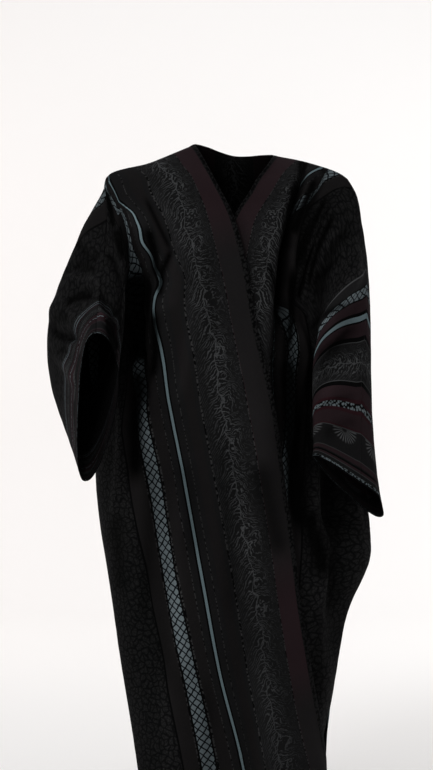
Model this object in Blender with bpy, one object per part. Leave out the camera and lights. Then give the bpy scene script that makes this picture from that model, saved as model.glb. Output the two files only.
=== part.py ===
"""An open-front abaya with wide sleeves cut in one with the body, worn crossed over.

Metres, +Z up. The wearer faces -Y, so the wearer's right side is at -X. The origin is at the middle of
the neck, level with the shoulders. Each panel is a sheet of cloth laid out in rows and columns: rows run
across the body and on round the sleeve, columns hang down from the shoulder and overarm seam.
"""

import bpy
import numpy as np

NAME = "abaya"

# The wall of the cloth, the gap left at each seam, and how far one front lies under the other
WALL = 0.002
SEAM_GAP = 0.0003
LAYER_GAP = 0.010
LAYER_RAMP = 0.035

# How many times the sheet's tight turns are rounded, and how far below the underarm that fades out
ROUNDING_PASSES = 6
ROUNDING_FADE = 0.16

# Folds fade out over this distance at a seam, and over so many columns each side of an armhole
SEAM_STILL = 0.05
ARMHOLE_STEPS = 2

# Levels: the underarm, where the sleeves leave the body, and the hem
UNDERARM_Z = -0.50
HEM_Z = -1.41

# How finely a panel is laid out
UPPER_ROWS = 18
LOWER_ROWS = 20
FRONT_COLUMNS = 12
NECK_COLUMNS = 6
SLEEVE_COLUMNS = 14

# Neck points, where the shoulder seams start, and the middle of the back neckline
NECK_RIGHT = (-0.084, 0.010, 0.029)
NECK_LEFT = (0.078, 0.010, 0.006)
NECK_BACK = (-0.002, 0.060, 0.012)

# The share of a row, from the front edge, that lies on the body form, and the share of half a back row
# over which the back comes onto it from an armhole
FRONT_ON_FORM = 0.55
BACK_BLEND = 0.45

# How deep the shoulder takes to round over from its seam into the chest or the back
SHOULDER_ROUND = 0.10


def table(columns, *rows):
    """A short table as a dictionary of its named columns."""
    return {name: np.array(values) for name, values in zip(columns.split(), zip(*rows))}


# Level sections of the body form, from the shoulders to the hem: how far it reaches to the wearer's
# right and left, forward and back, and how far back its two side lines lie
SECTIONS = table(
    "z right left front back right_y left_y",
    (0.03, -0.300, 0.265, -0.045, 0.070, 0.000, 0.000),
    (-0.05, -0.300, 0.265, -0.070, 0.095, 0.000, 0.000),
    (-0.13, -0.300, 0.265, -0.098, 0.112, 0.000, 0.000),
    (-0.25, -0.288, 0.240, -0.125, 0.118, 0.010, 0.020),
    (-0.36, -0.280, 0.222, -0.130, 0.112, 0.020, 0.035),
    (-0.50, -0.277, 0.212, -0.136, 0.118, 0.030, 0.040),
    (-0.62, -0.289, 0.245, -0.142, 0.132, 0.030, 0.070),
    (-0.76, -0.278, 0.280, -0.147, 0.140, 0.020, 0.065),
    (-0.84, -0.264, 0.273, -0.146, 0.140, 0.010, 0.040),
    (-0.90, -0.254, 0.241, -0.143, 0.139, 0.000, 0.020),
    (-1.05, -0.231, 0.206, -0.138, 0.136, -0.010, 0.010),
    (-1.20, -0.206, 0.184, -0.132, 0.132, -0.020, 0.000),
    (-1.41, -0.178, 0.190, -0.128, 0.130, -0.020, 0.000),
)

# The straight front edges, as they lie across the body
RIGHT_EDGE = table(
    "z x",
    (0.029, -0.084),
    (-0.008, -0.064),
    (-0.051, -0.043),
    (-0.127, -0.006),
    (-0.182, 0.010),
    (-0.258, 0.025),
    (-0.336, 0.037),
    (-0.500, 0.074),
    (-0.620, 0.092),
    (-0.760, 0.110),
    (-0.900, 0.127),
    (-1.050, 0.152),
    (-1.200, 0.179),
    (-1.410, 0.187),
)
LEFT_EDGE = table(
    "z x",
    (0.006, 0.078),
    (-0.021, 0.061),
    (-0.049, 0.041),
    (-0.086, 0.021),
    (-0.127, -0.006),
    (-0.190, -0.024),
    (-0.270, -0.040),
    (-0.360, -0.054),
    (-0.500, -0.072),
    (-0.900, -0.105),
    (-1.410, -0.130),
)

# Rings of the sleeves, from the armhole to the cuff. Each is a smooth loop through its quarter points:
# on the overarm seam, at the front, on the underarm seam and at the back
RIGHT_RINGS = table(
    "over front under back",
    ((-0.266, 0.000, -0.041), (-0.212, -0.045, -0.272), (-0.275, 0.030, -0.496), (-0.245, 0.100, -0.250)),
    ((-0.264, -0.030, -0.090), (-0.220, -0.078, -0.282), (-0.290, 0.040, -0.488), (-0.322, 0.060, -0.190)),
    ((-0.260, -0.060, -0.144), (-0.232, -0.106, -0.292), (-0.303, 0.045, -0.480), (-0.338, 0.040, -0.222)),
    ((-0.267, -0.105, -0.247), (-0.226, -0.120, -0.362), (-0.322, 0.015, -0.490), (-0.395, 0.020, -0.335)),
    ((-0.272, -0.150, -0.314), (-0.231, -0.155, -0.426), (-0.318, -0.080, -0.559), (-0.348, -0.080, -0.430)),
    ((-0.274, -0.180, -0.366), (-0.231, -0.185, -0.471), (-0.294, -0.170, -0.652), (-0.305, -0.180, -0.480)),
)
LEFT_RINGS = table(
    "over front under back",
    ((0.228, 0.000, -0.043), (0.137, -0.055, -0.290), (0.210, 0.040, -0.496), (0.212, 0.100, -0.270)),
    ((0.259, -0.010, -0.169), (0.178, -0.108, -0.318), (0.240, 0.014, -0.522), (0.256, 0.056, -0.330)),
    ((0.264, -0.042, -0.292), (0.149, -0.122, -0.400), (0.256, 0.008, -0.585), (0.256, 0.034, -0.430)),
    ((0.251, -0.080, -0.455), (0.148, -0.145, -0.534), (0.264, 0.006, -0.661), (0.276, -0.006, -0.570)),
    ((0.246, -0.096, -0.660), (0.152, -0.152, -0.609), (0.276, 0.004, -0.728), (0.292, -0.032, -0.702)),
)

# How far the middle of each shoulder seam stands above a straight line
SHOULDER_RISE = {"right": -0.003, "left": 0.008}

# The largest folds, as lines seen from the front or the back: which panel, which part of it and which of
# its faces they lie on, where they start and end, their half width and how far they rise (or sink)
FOLDS = table(
    "panel part face x0 z0 x1 z1 width rise",
    ("front_right", "body", "front", -0.225, -0.110, -0.140, -0.265, 0.024, 0.012),
    ("front_right", "body", "front", -0.135, -0.200, -0.185, -0.430, 0.026, 0.014),
    ("front_right", "body", "front", -0.214, -0.180, -0.216, -0.440, 0.024, -0.012),
    ("front_right", "body", "front", -0.190, -0.480, -0.230, -0.900, 0.030, 0.008),
    ("front_right", "body", "front", -0.140, -0.560, -0.150, -1.100, 0.032, -0.007),
    ("fronts", "body", "front", 0.095, -0.360, 0.125, -0.760, 0.028, -0.014),
    ("fronts", "body", "front", 0.020, -0.330, 0.075, -0.900, 0.035, 0.008),
    ("fronts", "body", "front", -0.010, -0.900, 0.050, -1.380, 0.040, -0.008),
    ("front_left", "body", "front", 0.202, -0.400, 0.222, -0.800, 0.050, -0.045),
    ("front_left", "body", "front", 0.225, -0.700, 0.190, -1.050, 0.024, -0.014),
    ("front_left", "body", "front", 0.182, -0.060, 0.112, -0.285, 0.022, 0.014),
    ("front_left", "body", "front", 0.214, -0.095, 0.132, -0.335, 0.020, 0.012),
    ("front_left", "sleeve", "front", 0.262, -0.170, 0.190, -0.330, 0.026, 0.010),
    ("front_left", "sleeve", "front", 0.262, -0.290, 0.185, -0.420, 0.026, -0.008),
    ("back", "sleeve", "front", -0.350, -0.215, -0.270, -0.290, 0.022, -0.014),
    ("back", "sleeve", "front", -0.390, -0.300, -0.300, -0.345, 0.024, 0.010),
    ("back", "body", "back", -0.090, -0.060, -0.150, -1.300, 0.035, 0.012),
    ("back", "body", "back", 0.090, -0.060, 0.110, -1.300, 0.035, 0.012),
    ("back", "body", "back", -0.010, -0.120, -0.020, -1.380, 0.040, -0.012),
    ("back", "body", "back", -0.210, -0.120, -0.140, -0.560, 0.028, -0.014),
    ("back", "body", "back", 0.190, -0.120, 0.110, -0.560, 0.028, -0.014),
    ("back", "body", "back", -0.230, -0.450, -0.170, -0.950, 0.028, 0.012),
    ("back", "body", "back", 0.200, -0.450, 0.160, -0.950, 0.028, 0.012),
)
FOLD_FADE = 0.22

# The cloth: its colour on each panel, and its roughness and metallic value
CLOTH = {
    "front_right": (0.018, 0.018, 0.020),
    "front_left": (0.022, 0.017, 0.019),
    "back": (0.015, 0.015, 0.017),
}
CLOTH_ROUGHNESS = 0.85
CLOTH_METALLIC = 0.0


def smoothstep(value):
    """Rise from 0 to 1 with a level start and end."""
    value = np.clip(value, 0.0, 1.0)
    return value * value * (3.0 - 2.0 * value)


def spline(at, knots, values):
    """A smooth curve through the values at the knots, made of cubics whose slopes follow the neighbours."""
    at = np.asarray(at, dtype=float)
    knots = np.asarray(knots, dtype=float)
    values = np.asarray(values, dtype=float)
    tail = (1,) * (values.ndim - 1)
    gaps = np.diff(knots).reshape(-1, *tail)
    chords = np.diff(values, axis=0) / gaps
    inner = (chords[:-1] * gaps[1:] + chords[1:] * gaps[:-1]) / (gaps[:-1] + gaps[1:])
    slopes = np.concatenate([chords[:1], inner, chords[-1:]])
    cell = np.clip(np.searchsorted(knots, at, side="right") - 1, 0, len(knots) - 2)
    step = (knots[1:] - knots[:-1])[cell]
    t = ((at - knots[cell]) / step).reshape(-1, *tail)
    step = step.reshape(-1, *tail)
    start = values[cell] * (1 + 2 * t) * (1 - t) ** 2 + slopes[cell] * step * t * (1 - t) ** 2
    end = values[cell + 1] * t**2 * (3 - 2 * t) - slopes[cell + 1] * step * t**2 * (1 - t)
    return start + end


def read_table(rows, column, z):
    """A column of a table of heights, read smoothly at the heights z."""
    z = np.asarray(z, dtype=float)
    flat = spline(np.clip(z, rows["z"][-1], rows["z"][0]).ravel(), rows["z"][::-1], rows[column][::-1])
    return flat.reshape(z.shape)


def shoulder_line(x):
    """Height of the shoulder seam over each x, straight between the neck points."""
    right, left = RIGHT_RINGS["over"][0], LEFT_RINGS["over"][0]
    return np.interp(
        x, (right[0], NECK_RIGHT[0], NECK_LEFT[0], left[0]), (right[2], NECK_RIGHT[2], NECK_LEFT[2], left[2])
    )


def form_depth(x, z, face):
    """Depth y of the body form at (x, z): an ellipse across, rounded over at the shoulder.

    face is "front" or "back".
    """
    reach = np.where(x < 0, read_table(SECTIONS, "right", z), read_table(SECTIONS, "left", z))
    side_y = np.where(x < 0, read_table(SECTIONS, "right_y", z), read_table(SECTIONS, "left_y", z))
    across = np.clip(x / reach, 0.0, 1.0)
    drop = np.clip((shoulder_line(x) - z) / SHOULDER_ROUND, 0.0, 1.0)
    rounding = np.sqrt(1 - (1 - drop) ** 2)
    return side_y * across**2 + read_table(SECTIONS, face, z) * rounding * np.sqrt(1 - across**2)


def along(points):
    """Distance run along a row of points, as fractions of its whole length."""
    run = np.concatenate([[0.0], np.cumsum(np.linalg.norm(np.diff(points, axis=0), axis=1))])
    return run / run[-1]


def section_arc(z, start, end, face, fractions):
    """Points on the level section at height z, from x start to x end, at the fractions of the way."""
    turn = np.linspace(0.0, np.pi, 241)
    reach = (read_table(SECTIONS, "right", [z])[0], read_table(SECTIONS, "left", [z])[0])
    x = np.where(np.cos(turn) > 0, -reach[0], reach[1]) * -np.cos(turn)
    arc = np.column_stack([x, form_depth(x, np.full_like(x, z), face), np.full_like(x, z)])
    keep = (x > min(start, end) + 1e-6) & (x < max(start, end) - 1e-6)
    ends = [np.array([[e, form_depth(np.array([e]), np.array([z]), face)[0], z]]) for e in (start, end)]
    middle = arc[keep] if start < end else arc[keep][::-1]
    arc = np.concatenate([ends[0], middle, ends[1]])
    run = along(arc)
    return np.column_stack([np.interp(fractions, run, arc[:, i]) for i in range(3)])


def ring_points(rings, index, turn):
    """Points of one sleeve ring: turn 0 is the overarm seam, 0.5 the front, 1 the underarm, -0.5 the back."""
    over, front, under, back = (rings[name][index] for name in ("over", "front", "under", "back"))
    middle = (over + front + under + back) / 4
    angle = (np.pi * turn)[:, None]
    first = (over - under) / 2 * np.cos(angle) + (front - back) / 2 * np.sin(angle)
    return middle + first + (over - front + under - back) / 4 * np.cos(2 * angle)


def edge_points(edge, heights):
    """Points of a front edge where it lies on the body form."""
    x = read_table(edge, "x", heights)
    return np.column_stack([x, form_depth(x, heights, "front"), heights])


def sheet_normals(points, faces):
    """Unit normals at the points of a sheet, from the faces that meet there."""
    one, two, three, four = (points[faces[:, i]] for i in range(4))
    facing = np.cross(three - one, four - two)
    normals = np.zeros_like(points)
    for i in range(4):
        np.add.at(normals, faces[:, i], facing)
    return normals / np.maximum(np.linalg.norm(normals, axis=1, keepdims=True), 1e-12)


def rounded(points, faces):
    """The sheet with its tight turns rounded.

    In each pass an inner point goes halfway to the middle of its neighbours, or less below the underarm.
    """
    sides = np.sort(np.concatenate([faces[:, [i, (i + 1) % 4]] for i in range(4)]), axis=1)
    sides, uses = np.unique(sides, axis=0, return_counts=True)
    outline = np.unique(sides[uses == 1])
    count = np.bincount(sides.ravel())[:, None]
    share = smoothstep(1 + (points[:, 2:] - UNDERARM_Z) / ROUNDING_FADE) / 2
    for _ in range(ROUNDING_PASSES):
        total = np.zeros_like(points)
        np.add.at(total, sides[:, 0], points[sides[:, 1]])
        np.add.at(total, sides[:, 1], points[sides[:, 0]])
        middle = total / count
        middle[outline] = points[outline]
        points = points + (middle - points) * share
    return points


def fold_lift(points, normals, sleeve, panel):
    """How far the folds lift each point of a panel along its normal.

    Each fold is a round ridge or trough about its line, which fades out towards both ends. sleeve is 1 on
    the sleeve and 0 on the body.
    """
    lift = np.zeros(len(points))
    for i, owner in enumerate(FOLDS["panel"]):
        if owner != panel and not (owner == "fronts" and panel.startswith("front")):
            continue
        start = np.array([FOLDS["x0"][i], FOLDS["z0"][i]])
        run = np.array([FOLDS["x1"][i], FOLDS["z1"][i]]) - start
        place = points[:, [0, 2]] - start
        part = place @ run / (run @ run)
        away = np.linalg.norm(place - np.clip(part, 0, 1)[:, None] * run, axis=1)
        ends = smoothstep(part / FOLD_FADE) * smoothstep((1 - part) / FOLD_FADE)
        facing = normals[:, 1] * (1 if FOLDS["face"][i] == "back" else -1)
        here = sleeve if FOLDS["part"][i] == "sleeve" else 1 - sleeve
        bump = np.exp(-((away / FOLDS["width"][i]) ** 2))
        lift += FOLDS["rise"][i] * bump * ends * here * smoothstep(facing * 2)
    return lift


def upper_stations(stations, columns):
    """Rows drawn smoothly through the stations, with so many columns in each stretch between named ones.

    stations is a list of point columns, and columns a list of (first station, last station, count).
    """
    stations = np.array(stations)
    chord = np.linalg.norm(np.diff(stations, axis=0), axis=2).mean(axis=1)
    knots = np.concatenate([[0.0], np.cumsum(chord)])
    places = [knots[columns[0][0]] + np.zeros(1)]
    for first, last, count in columns:
        places.append(np.linspace(knots[first], knots[last], count + 1)[1:])
    return spline(np.concatenate(places), knots, stations).transpose(1, 0, 2)


def fade_to(grid, border, row, reach):
    """Move a row of the grid onto its border curve, and the rows near it by less and less."""
    rows = np.linspace(0.0, 1.0, len(grid))
    weight = 1 - smoothstep(np.abs(rows - row) / reach)
    line = grid[int(round(row * (len(grid) - 1)))]
    return grid + weight[:, None, None] * (border - line)[None]


def seam_curve(points, columns):
    """A seam through its points, with the same columns as the rows beside it."""
    return upper_stations([np.array([p]) for p in points], columns)[0]


def over_seam(rings, neck):
    """Shoulder and overarm seam, from the neck point to the cuff."""
    side = "right" if neck[0] < 0 else "left"
    neck = np.array(neck)
    middle = (neck + rings["over"][0]) / 2 + np.array([0.0, 0.0, SHOULDER_RISE[side]])
    points = [neck, middle, *rings["over"]]
    return seam_curve(points, [(0, 2, FRONT_COLUMNS), (2, len(points) - 1, SLEEVE_COLUMNS)])


def under_seam(rings):
    """Underarm seam, from the underarm to the cuff."""
    return seam_curve(list(rings["under"]), [(0, len(rings["under"]) - 1, SLEEVE_COLUMNS)])


def lower_heights():
    """Heights of the rows below the underarm."""
    return np.linspace(UNDERARM_Z, HEM_Z, LOWER_ROWS + 1)


def front_grids(rings, edge, neck):
    """Rows of a front panel, above and below the underarm, from its front edge outwards."""
    turn = np.linspace(0.0, 1.0, UPPER_ROWS + 1)
    armhole = ring_points(rings, 0, turn)
    heights = neck[2] + (UNDERARM_Z - neck[2]) * turn
    start = edge_points(edge, heights)
    stations = [start]
    for part in (1 / 3, 2 / 3):
        point = start + (armhole - start) * part
        point[:, 1] = form_depth(point[:, 0], point[:, 2], "front")
        stations.append(point)
    stations += [ring_points(rings, i, turn) for i in range(len(rings["over"]))]
    last = len(stations) - 1
    upper = upper_stations(stations, [(0, 3, FRONT_COLUMNS), (3, last, SLEEVE_COLUMNS)])
    across = np.linspace(0.0, 1.0, FRONT_COLUMNS + 1)
    weight = 1 - smoothstep((across - FRONT_ON_FORM) / (1 - FRONT_ON_FORM))
    body = upper[:, : FRONT_COLUMNS + 1]
    body[..., 1] += weight * (form_depth(body[..., 0], body[..., 2], "front") - body[..., 1])
    upper = fade_to(upper, over_seam(rings, neck), 0.0, 0.5)
    side = "right" if neck[0] < 0 else "left"
    fractions = along(upper[-1, : FRONT_COLUMNS + 1])
    lower = []
    for z in lower_heights():
        reach = read_table(SECTIONS, side, [z])[0]
        begin = read_table(edge, "x", [z])[0]
        lower.append(section_arc(z, begin, reach, "front", fractions))
    lower = np.array(lower)
    border = np.concatenate([lower[0], under_seam(rings)[1:]])
    return fade_to(upper, border, 1.0, 0.5), lower


def back_grids():
    """Rows of the back panel, above and below the underarm, from the right cuff to the left cuff."""
    turn = np.linspace(0.0, 1.0, UPPER_ROWS + 1)
    right = [ring_points(RIGHT_RINGS, i, -turn) for i in range(len(RIGHT_RINGS["over"]))]
    left = [ring_points(LEFT_RINGS, i, -turn) for i in range(len(LEFT_RINGS["over"]))]
    middle = []
    for top in (NECK_RIGHT, NECK_BACK, NECK_LEFT):
        top = np.array(top)
        point = np.array([top[0], 0.0, UNDERARM_Z]) * turn[:, None] + top * (1 - turn[:, None])
        level = form_depth(point[:, 0], point[:, 2], "back")
        point[:, 1] = top[1] + (level - top[1]) * smoothstep(turn * 6)
        middle.append(point)
    stations = [*right[::-1], *middle, *left]
    neck = len(right)
    columns = [
        (0, neck - 1, SLEEVE_COLUMNS),
        (neck - 1, neck, FRONT_COLUMNS),
        (neck, neck + 2, NECK_COLUMNS),
        (neck + 2, neck + 3, FRONT_COLUMNS),
        (neck + 3, len(stations) - 1, SLEEVE_COLUMNS),
    ]
    upper = upper_stations(stations, columns)
    first, last = SLEEVE_COLUMNS, SLEEVE_COLUMNS + 2 * FRONT_COLUMNS + NECK_COLUMNS
    body = upper[:, first : last + 1]
    across = np.linspace(-1.0, 1.0, last - first + 1)
    weight = smoothstep((1 - np.abs(across)) / BACK_BLEND) * smoothstep(turn * 4)[:, None]
    body[..., 1] += weight * (form_depth(body[..., 0], body[..., 2], "back") - body[..., 1])
    seam_right = over_seam(RIGHT_RINGS, NECK_RIGHT)[::-1]
    seam_left = over_seam(LEFT_RINGS, NECK_LEFT)
    neckline = upper[0, first + FRONT_COLUMNS + 1 : last - FRONT_COLUMNS]
    upper = fade_to(upper, np.concatenate([seam_right, neckline, seam_left]), 0.0, 0.5)
    fractions = along(upper[-1, first : last + 1])
    lower = []
    for z in lower_heights():
        ends = [read_table(SECTIONS, side, [z])[0] for side in ("right", "left")]
        lower.append(section_arc(z, ends[0], ends[1], "back", fractions))
    lower = np.array(lower)
    border = np.concatenate([under_seam(RIGHT_RINGS)[:0:-1], lower[0], under_seam(LEFT_RINGS)[1:]])
    return fade_to(upper, border, 1.0, 0.5), lower, first


def join_grids(upper, lower, first, neckline=()):
    """One sheet from the two grids, which share the underarm row.

    first is the upper grid's column where the body starts. neckline lists the top columns with no seam.
    Returns its points, its four-sided faces, which points lie on a seam, and how far each is on a sleeve.
    """
    rows, columns = upper.shape[:2]
    width = lower.shape[1]
    points = np.concatenate([upper.reshape(-1, 3), lower[1:].reshape(-1, 3)])
    top = np.arange(rows * columns).reshape(rows, columns)
    below = rows * columns + np.arange((len(lower) - 1) * width).reshape(-1, width)
    bottom = np.concatenate([top[-1:, first : first + width], below])
    faces = [
        np.stack([grid[:-1, :-1], grid[1:, :-1], grid[1:, 1:], grid[:-1, 1:]], axis=-1).reshape(-1, 4)
        for grid in (top, bottom)
    ]
    seam = [np.delete(top[0], neckline), top[-1, : first + 1], top[-1, first + width - 1 :]]
    if first == 0:
        seam[1] = top[-1, :0]
    else:
        seam.append(bottom[:, 0])
    if first + width == columns:
        seam[2] = top[-1, :0]
    else:
        seam.append(bottom[:, -1])
    column = np.arange(columns)
    outside = np.maximum(first - column, column - (first + width - 1))
    sleeve = np.broadcast_to(smoothstep((outside + ARMHOLE_STEPS) / (2 * ARMHOLE_STEPS)), (rows, columns))
    sleeve = np.concatenate([sleeve.ravel(), np.zeros(len(points) - rows * columns)])
    return points, np.concatenate(faces), np.unique(np.concatenate(seam)), sleeve


def part_seams(points, faces, seam):
    """Draw the seam points back from the seam by half its gap, towards the sheet's own inside."""
    on_seam = np.zeros(len(points), dtype=bool)
    on_seam[seam] = True
    pull = np.zeros_like(points)
    for i in range(4):
        here, there = faces[:, i], faces[:, (i + 1) % 4]
        for a, b in ((here, there), (there, here)):
            inward = on_seam[a] & ~on_seam[b]
            np.add.at(pull, a[inward], points[b[inward]] - points[a[inward]])
    length = np.linalg.norm(pull, axis=1, keepdims=True)
    return points + pull / np.maximum(length, 1e-12) * (length > 0) * SEAM_GAP / 2


def lay_under(points, normals):
    """The lower front's points, sunk under the upper front from a little outside its edge."""
    outside = points[:, 0] - read_table(RIGHT_EDGE, "x", points[:, 2])
    sunk = smoothstep(1 - outside / LAYER_RAMP) * (normals[:, 1] < 0)
    return points - normals * (LAYER_GAP * sunk)[:, None]


def drape(name, points, faces, seam, sleeve):
    """The sheet with its folds and its layer, and the normals at its points."""
    points = rounded(points, faces)
    normals = sheet_normals(points, faces)
    away = np.linalg.norm(points[:, None] - points[None, seam], axis=2).min(axis=1)
    lift = fold_lift(points, normals, sleeve, name) * smoothstep(away / SEAM_STILL)
    points = points + normals * lift[:, None]
    if name == "front_left":
        points = lay_under(points, normals)
    return points, sheet_normals(points, faces)


def share_seam_normals(sheets):
    """Give the panels that meet at a seam point one normal there, so that their walls end side by side."""
    places = np.concatenate([points[seam] for points, normals, faces, seam in sheets.values()])
    facing = np.concatenate([normals[seam] for points, normals, faces, seam in sheets.values()])
    meet = np.linalg.norm(places[:, None] - places[None], axis=2) < SEAM_GAP
    shared = meet @ facing
    shared /= np.linalg.norm(shared, axis=1, keepdims=True)
    start = 0
    for points, normals, faces, seam in sheets.values():
        normals[seam] = shared[start : start + len(seam)]
        start += len(seam)


def shell(points, normals, faces):
    """Points and triangles of a panel: an inner sheet, an outer one a wall away, and the rim between them.

    The outer points stand on the shared normals, so at a seam the walls of two panels end side by side.
    Both sheets are split along the same diagonals, the shorter ones, so that neither cuts the other.
    """
    count = len(points)
    one, two, three, four = faces.T
    across = np.linalg.norm(points[one] - points[three], axis=1)
    other = np.linalg.norm(points[two] - points[four], axis=1)
    first = across < other
    sheet = np.concatenate([
        np.column_stack([one, two, np.where(first, three, four)]),
        np.column_stack([three, four, np.where(first, one, two)]),
    ])
    sides = np.concatenate([faces[:, [i, (i + 1) % 4]] for i in range(4)])
    where, uses = np.unique(np.sort(sides, axis=1), axis=0, return_inverse=True, return_counts=True)[1:]
    a, b = sides[uses[where.ravel()] == 1].T
    rim = np.concatenate([np.column_stack([a, b, b + count]), np.column_stack([a, b + count, a + count])])
    triangles = np.concatenate([sheet[:, ::-1], sheet + count, rim])
    return np.concatenate([points, points + normals * WALL]), triangles


def build_panel(name, points, faces, collection):
    """A panel as a closed mesh with its cloth."""
    mesh = bpy.data.meshes.new(name)
    mesh.from_pydata(points.tolist(), [], faces.tolist())
    mesh.update()
    panel = bpy.data.objects.new(name, mesh)
    collection.objects.link(panel)
    mesh.shade_smooth()
    material = bpy.data.materials.new(name)
    material.use_nodes = True
    shader = material.node_tree.nodes["Principled BSDF"]
    shader.inputs["Base Color"].default_value = (*CLOTH[name], 1.0)
    shader.inputs["Roughness"].default_value = CLOTH_ROUGHNESS
    shader.inputs["Metallic"].default_value = CLOTH_METALLIC
    mesh.materials.append(material)


def flat_sheets():
    """The three panels before their folds: points, faces, seam points and share of sleeve."""
    upper, lower = front_grids(RIGHT_RINGS, RIGHT_EDGE, NECK_RIGHT)
    right = join_grids(upper[:, ::-1], lower[:, ::-1], SLEEVE_COLUMNS)
    upper, lower = front_grids(LEFT_RINGS, LEFT_EDGE, NECK_LEFT)
    left = join_grids(upper, lower, 0)
    upper, lower, first = back_grids()
    neckline = np.arange(1, NECK_COLUMNS) + first + FRONT_COLUMNS
    points, faces, seam, sleeve = join_grids(upper, lower, first, neckline)
    return {"front_right": right, "front_left": left, "back": (points, faces[:, ::-1], seam, sleeve)}


def main():
    for old in list(bpy.data.objects):
        bpy.data.objects.remove(old)
    collection = bpy.data.collections.new(NAME)
    bpy.context.scene.collection.children.link(collection)
    sheets = {}
    for name, (points, faces, seam, sleeve) in flat_sheets().items():
        points, normals = drape(name, points, faces, seam, sleeve)
        sheets[name] = (points, normals, faces, seam)
    share_seam_normals(sheets)
    for name, (points, normals, faces, seam) in sheets.items():
        points, faces = shell(part_seams(points, faces, seam), normals, faces)
        build_panel(name, points, faces, collection)


main()
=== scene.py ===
# %% [markdown]
# An abaya is a long, loose robe. This one is cut flat, like a kimono: two fronts and a back, each with half
# of both sleeves in one piece with the body, out of a cloth with woven stripes. It is worn crossed over.
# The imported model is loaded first. Every surface below lies on it, in metres, with the origin between the
# shoulders, +Z up and the wearer facing -Y.

import bpy
import numpy as np
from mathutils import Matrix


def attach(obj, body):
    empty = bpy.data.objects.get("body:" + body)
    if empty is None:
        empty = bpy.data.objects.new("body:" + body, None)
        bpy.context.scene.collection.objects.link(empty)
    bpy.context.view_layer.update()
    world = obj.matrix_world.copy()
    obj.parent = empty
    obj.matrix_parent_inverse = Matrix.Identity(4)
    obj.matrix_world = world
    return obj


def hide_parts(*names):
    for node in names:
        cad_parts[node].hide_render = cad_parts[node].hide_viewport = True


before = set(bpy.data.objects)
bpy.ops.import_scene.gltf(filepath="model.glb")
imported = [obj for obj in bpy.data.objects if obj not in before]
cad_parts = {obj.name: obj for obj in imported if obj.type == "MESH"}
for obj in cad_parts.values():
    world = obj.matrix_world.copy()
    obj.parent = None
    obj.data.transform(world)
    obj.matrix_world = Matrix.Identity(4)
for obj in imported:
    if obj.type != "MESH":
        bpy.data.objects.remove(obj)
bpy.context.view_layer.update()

# %% [markdown]
# The camera comes first, because the folds are placed by what it sees. The garment was photographed from the
# front with a level camera, from far enough away that it looks almost flat.

# %% Camera
CAMERA_PLACE = (-0.040, -3.4, -0.4654)
VIEW_HEIGHT = 1.5785
SENSOR = 24.0
CLIP_END = 30.0


def in_scene(name, data):
    """A new object with its data, linked into the scene."""
    made = bpy.data.objects.new(name, data)
    bpy.context.scene.collection.objects.link(made)
    return made


camera_data = bpy.data.cameras.new("camera")
camera = in_scene("camera", camera_data)
camera.location = CAMERA_PLACE
camera.rotation_euler = (np.pi / 2, 0.0, 0.0)
camera_data.sensor_fit = "VERTICAL"
camera_data.sensor_height = SENSOR
camera_data.lens = SENSOR * -CAMERA_PLACE[1] / VIEW_HEIGHT
camera_data.clip_end = CLIP_END
bpy.context.scene.camera = camera
print(f"the camera sees {VIEW_HEIGHT} m of height at the neck, with a {camera_data.lens:.1f} mm lens")

# %% [markdown]
# The robe keeps the form in which it is worn. Level sections give the body under it, two lines give where
# the straight front edges lie across that body, and rings give the sleeves. These are the short tables of the
# part's source, here in millimetres, so that the cloth lies in the wall of its solid.

# %% The form of the robe, as short tables
UNDERARM_Z = -0.50
HEM_Z = -1.41
UPPER_ROWS = 18
LOWER_ROWS = 20
FRONT_COLUMNS = 12
NECK_COLUMNS = 6
SLEEVE_COLUMNS = 14
NECK_RIGHT = (-0.084, 0.010, 0.029)
NECK_LEFT = (0.078, 0.010, 0.006)
NECK_BACK = (-0.002, 0.060, 0.012)
FRONT_ON_FORM = 0.55
BACK_BLEND = 0.45
SHOULDER_ROUND = 0.10
SHOULDER_RISE = {"right": -0.003, "left": 0.008}


def table(columns, *rows):
    """A short table as a dictionary of its named columns, from thousandths: millimetres become metres."""
    return {name: np.array(values) / 1000 for name, values in zip(columns.split(), zip(*rows))}


SECTIONS = table(
    "z right left front back right_y left_y",
    (30, -300, 265, -45, 70, 0, 0), (-50, -300, 265, -70, 95, 0, 0), (-130, -300, 265, -98, 112, 0, 0),
    (-250, -288, 240, -125, 118, 10, 20), (-360, -280, 222, -130, 112, 20, 35),
    (-500, -277, 212, -136, 118, 30, 40), (-620, -289, 245, -142, 132, 30, 70),
    (-760, -278, 280, -147, 140, 20, 65), (-840, -264, 273, -146, 140, 10, 40),
    (-900, -254, 241, -143, 139, 0, 20), (-1050, -231, 206, -138, 136, -10, 10),
    (-1200, -206, 184, -132, 132, -20, 0), (-1410, -178, 190, -128, 130, -20, 0),
)
RIGHT_EDGE = table(
    "z x",
    (29, -84), (-8, -64), (-51, -43), (-127, -6), (-182, 10), (-258, 25), (-336, 37), (-500, 74), (-620, 92),
    (-760, 110), (-900, 127), (-1050, 152), (-1200, 179), (-1410, 187),
)
LEFT_EDGE = table(
    "z x",
    (6, 78), (-21, 61), (-49, 41), (-86, 21), (-127, -6), (-190, -24), (-270, -40), (-360, -54), (-500, -72),
    (-900, -105), (-1410, -130),
)
RIGHT_RINGS = table(
    "over front under back",
    ((-266, 0, -41), (-212, -45, -272), (-275, 30, -496), (-245, 100, -250)),
    ((-264, -30, -90), (-220, -78, -282), (-290, 40, -488), (-322, 60, -190)),
    ((-260, -60, -144), (-232, -106, -292), (-303, 45, -480), (-338, 40, -222)),
    ((-267, -105, -247), (-226, -120, -362), (-322, 15, -490), (-395, 20, -335)),
    ((-272, -150, -314), (-231, -155, -426), (-318, -80, -559), (-348, -80, -430)),
    ((-274, -180, -366), (-231, -185, -471), (-294, -170, -652), (-305, -180, -480)),
)
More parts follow.
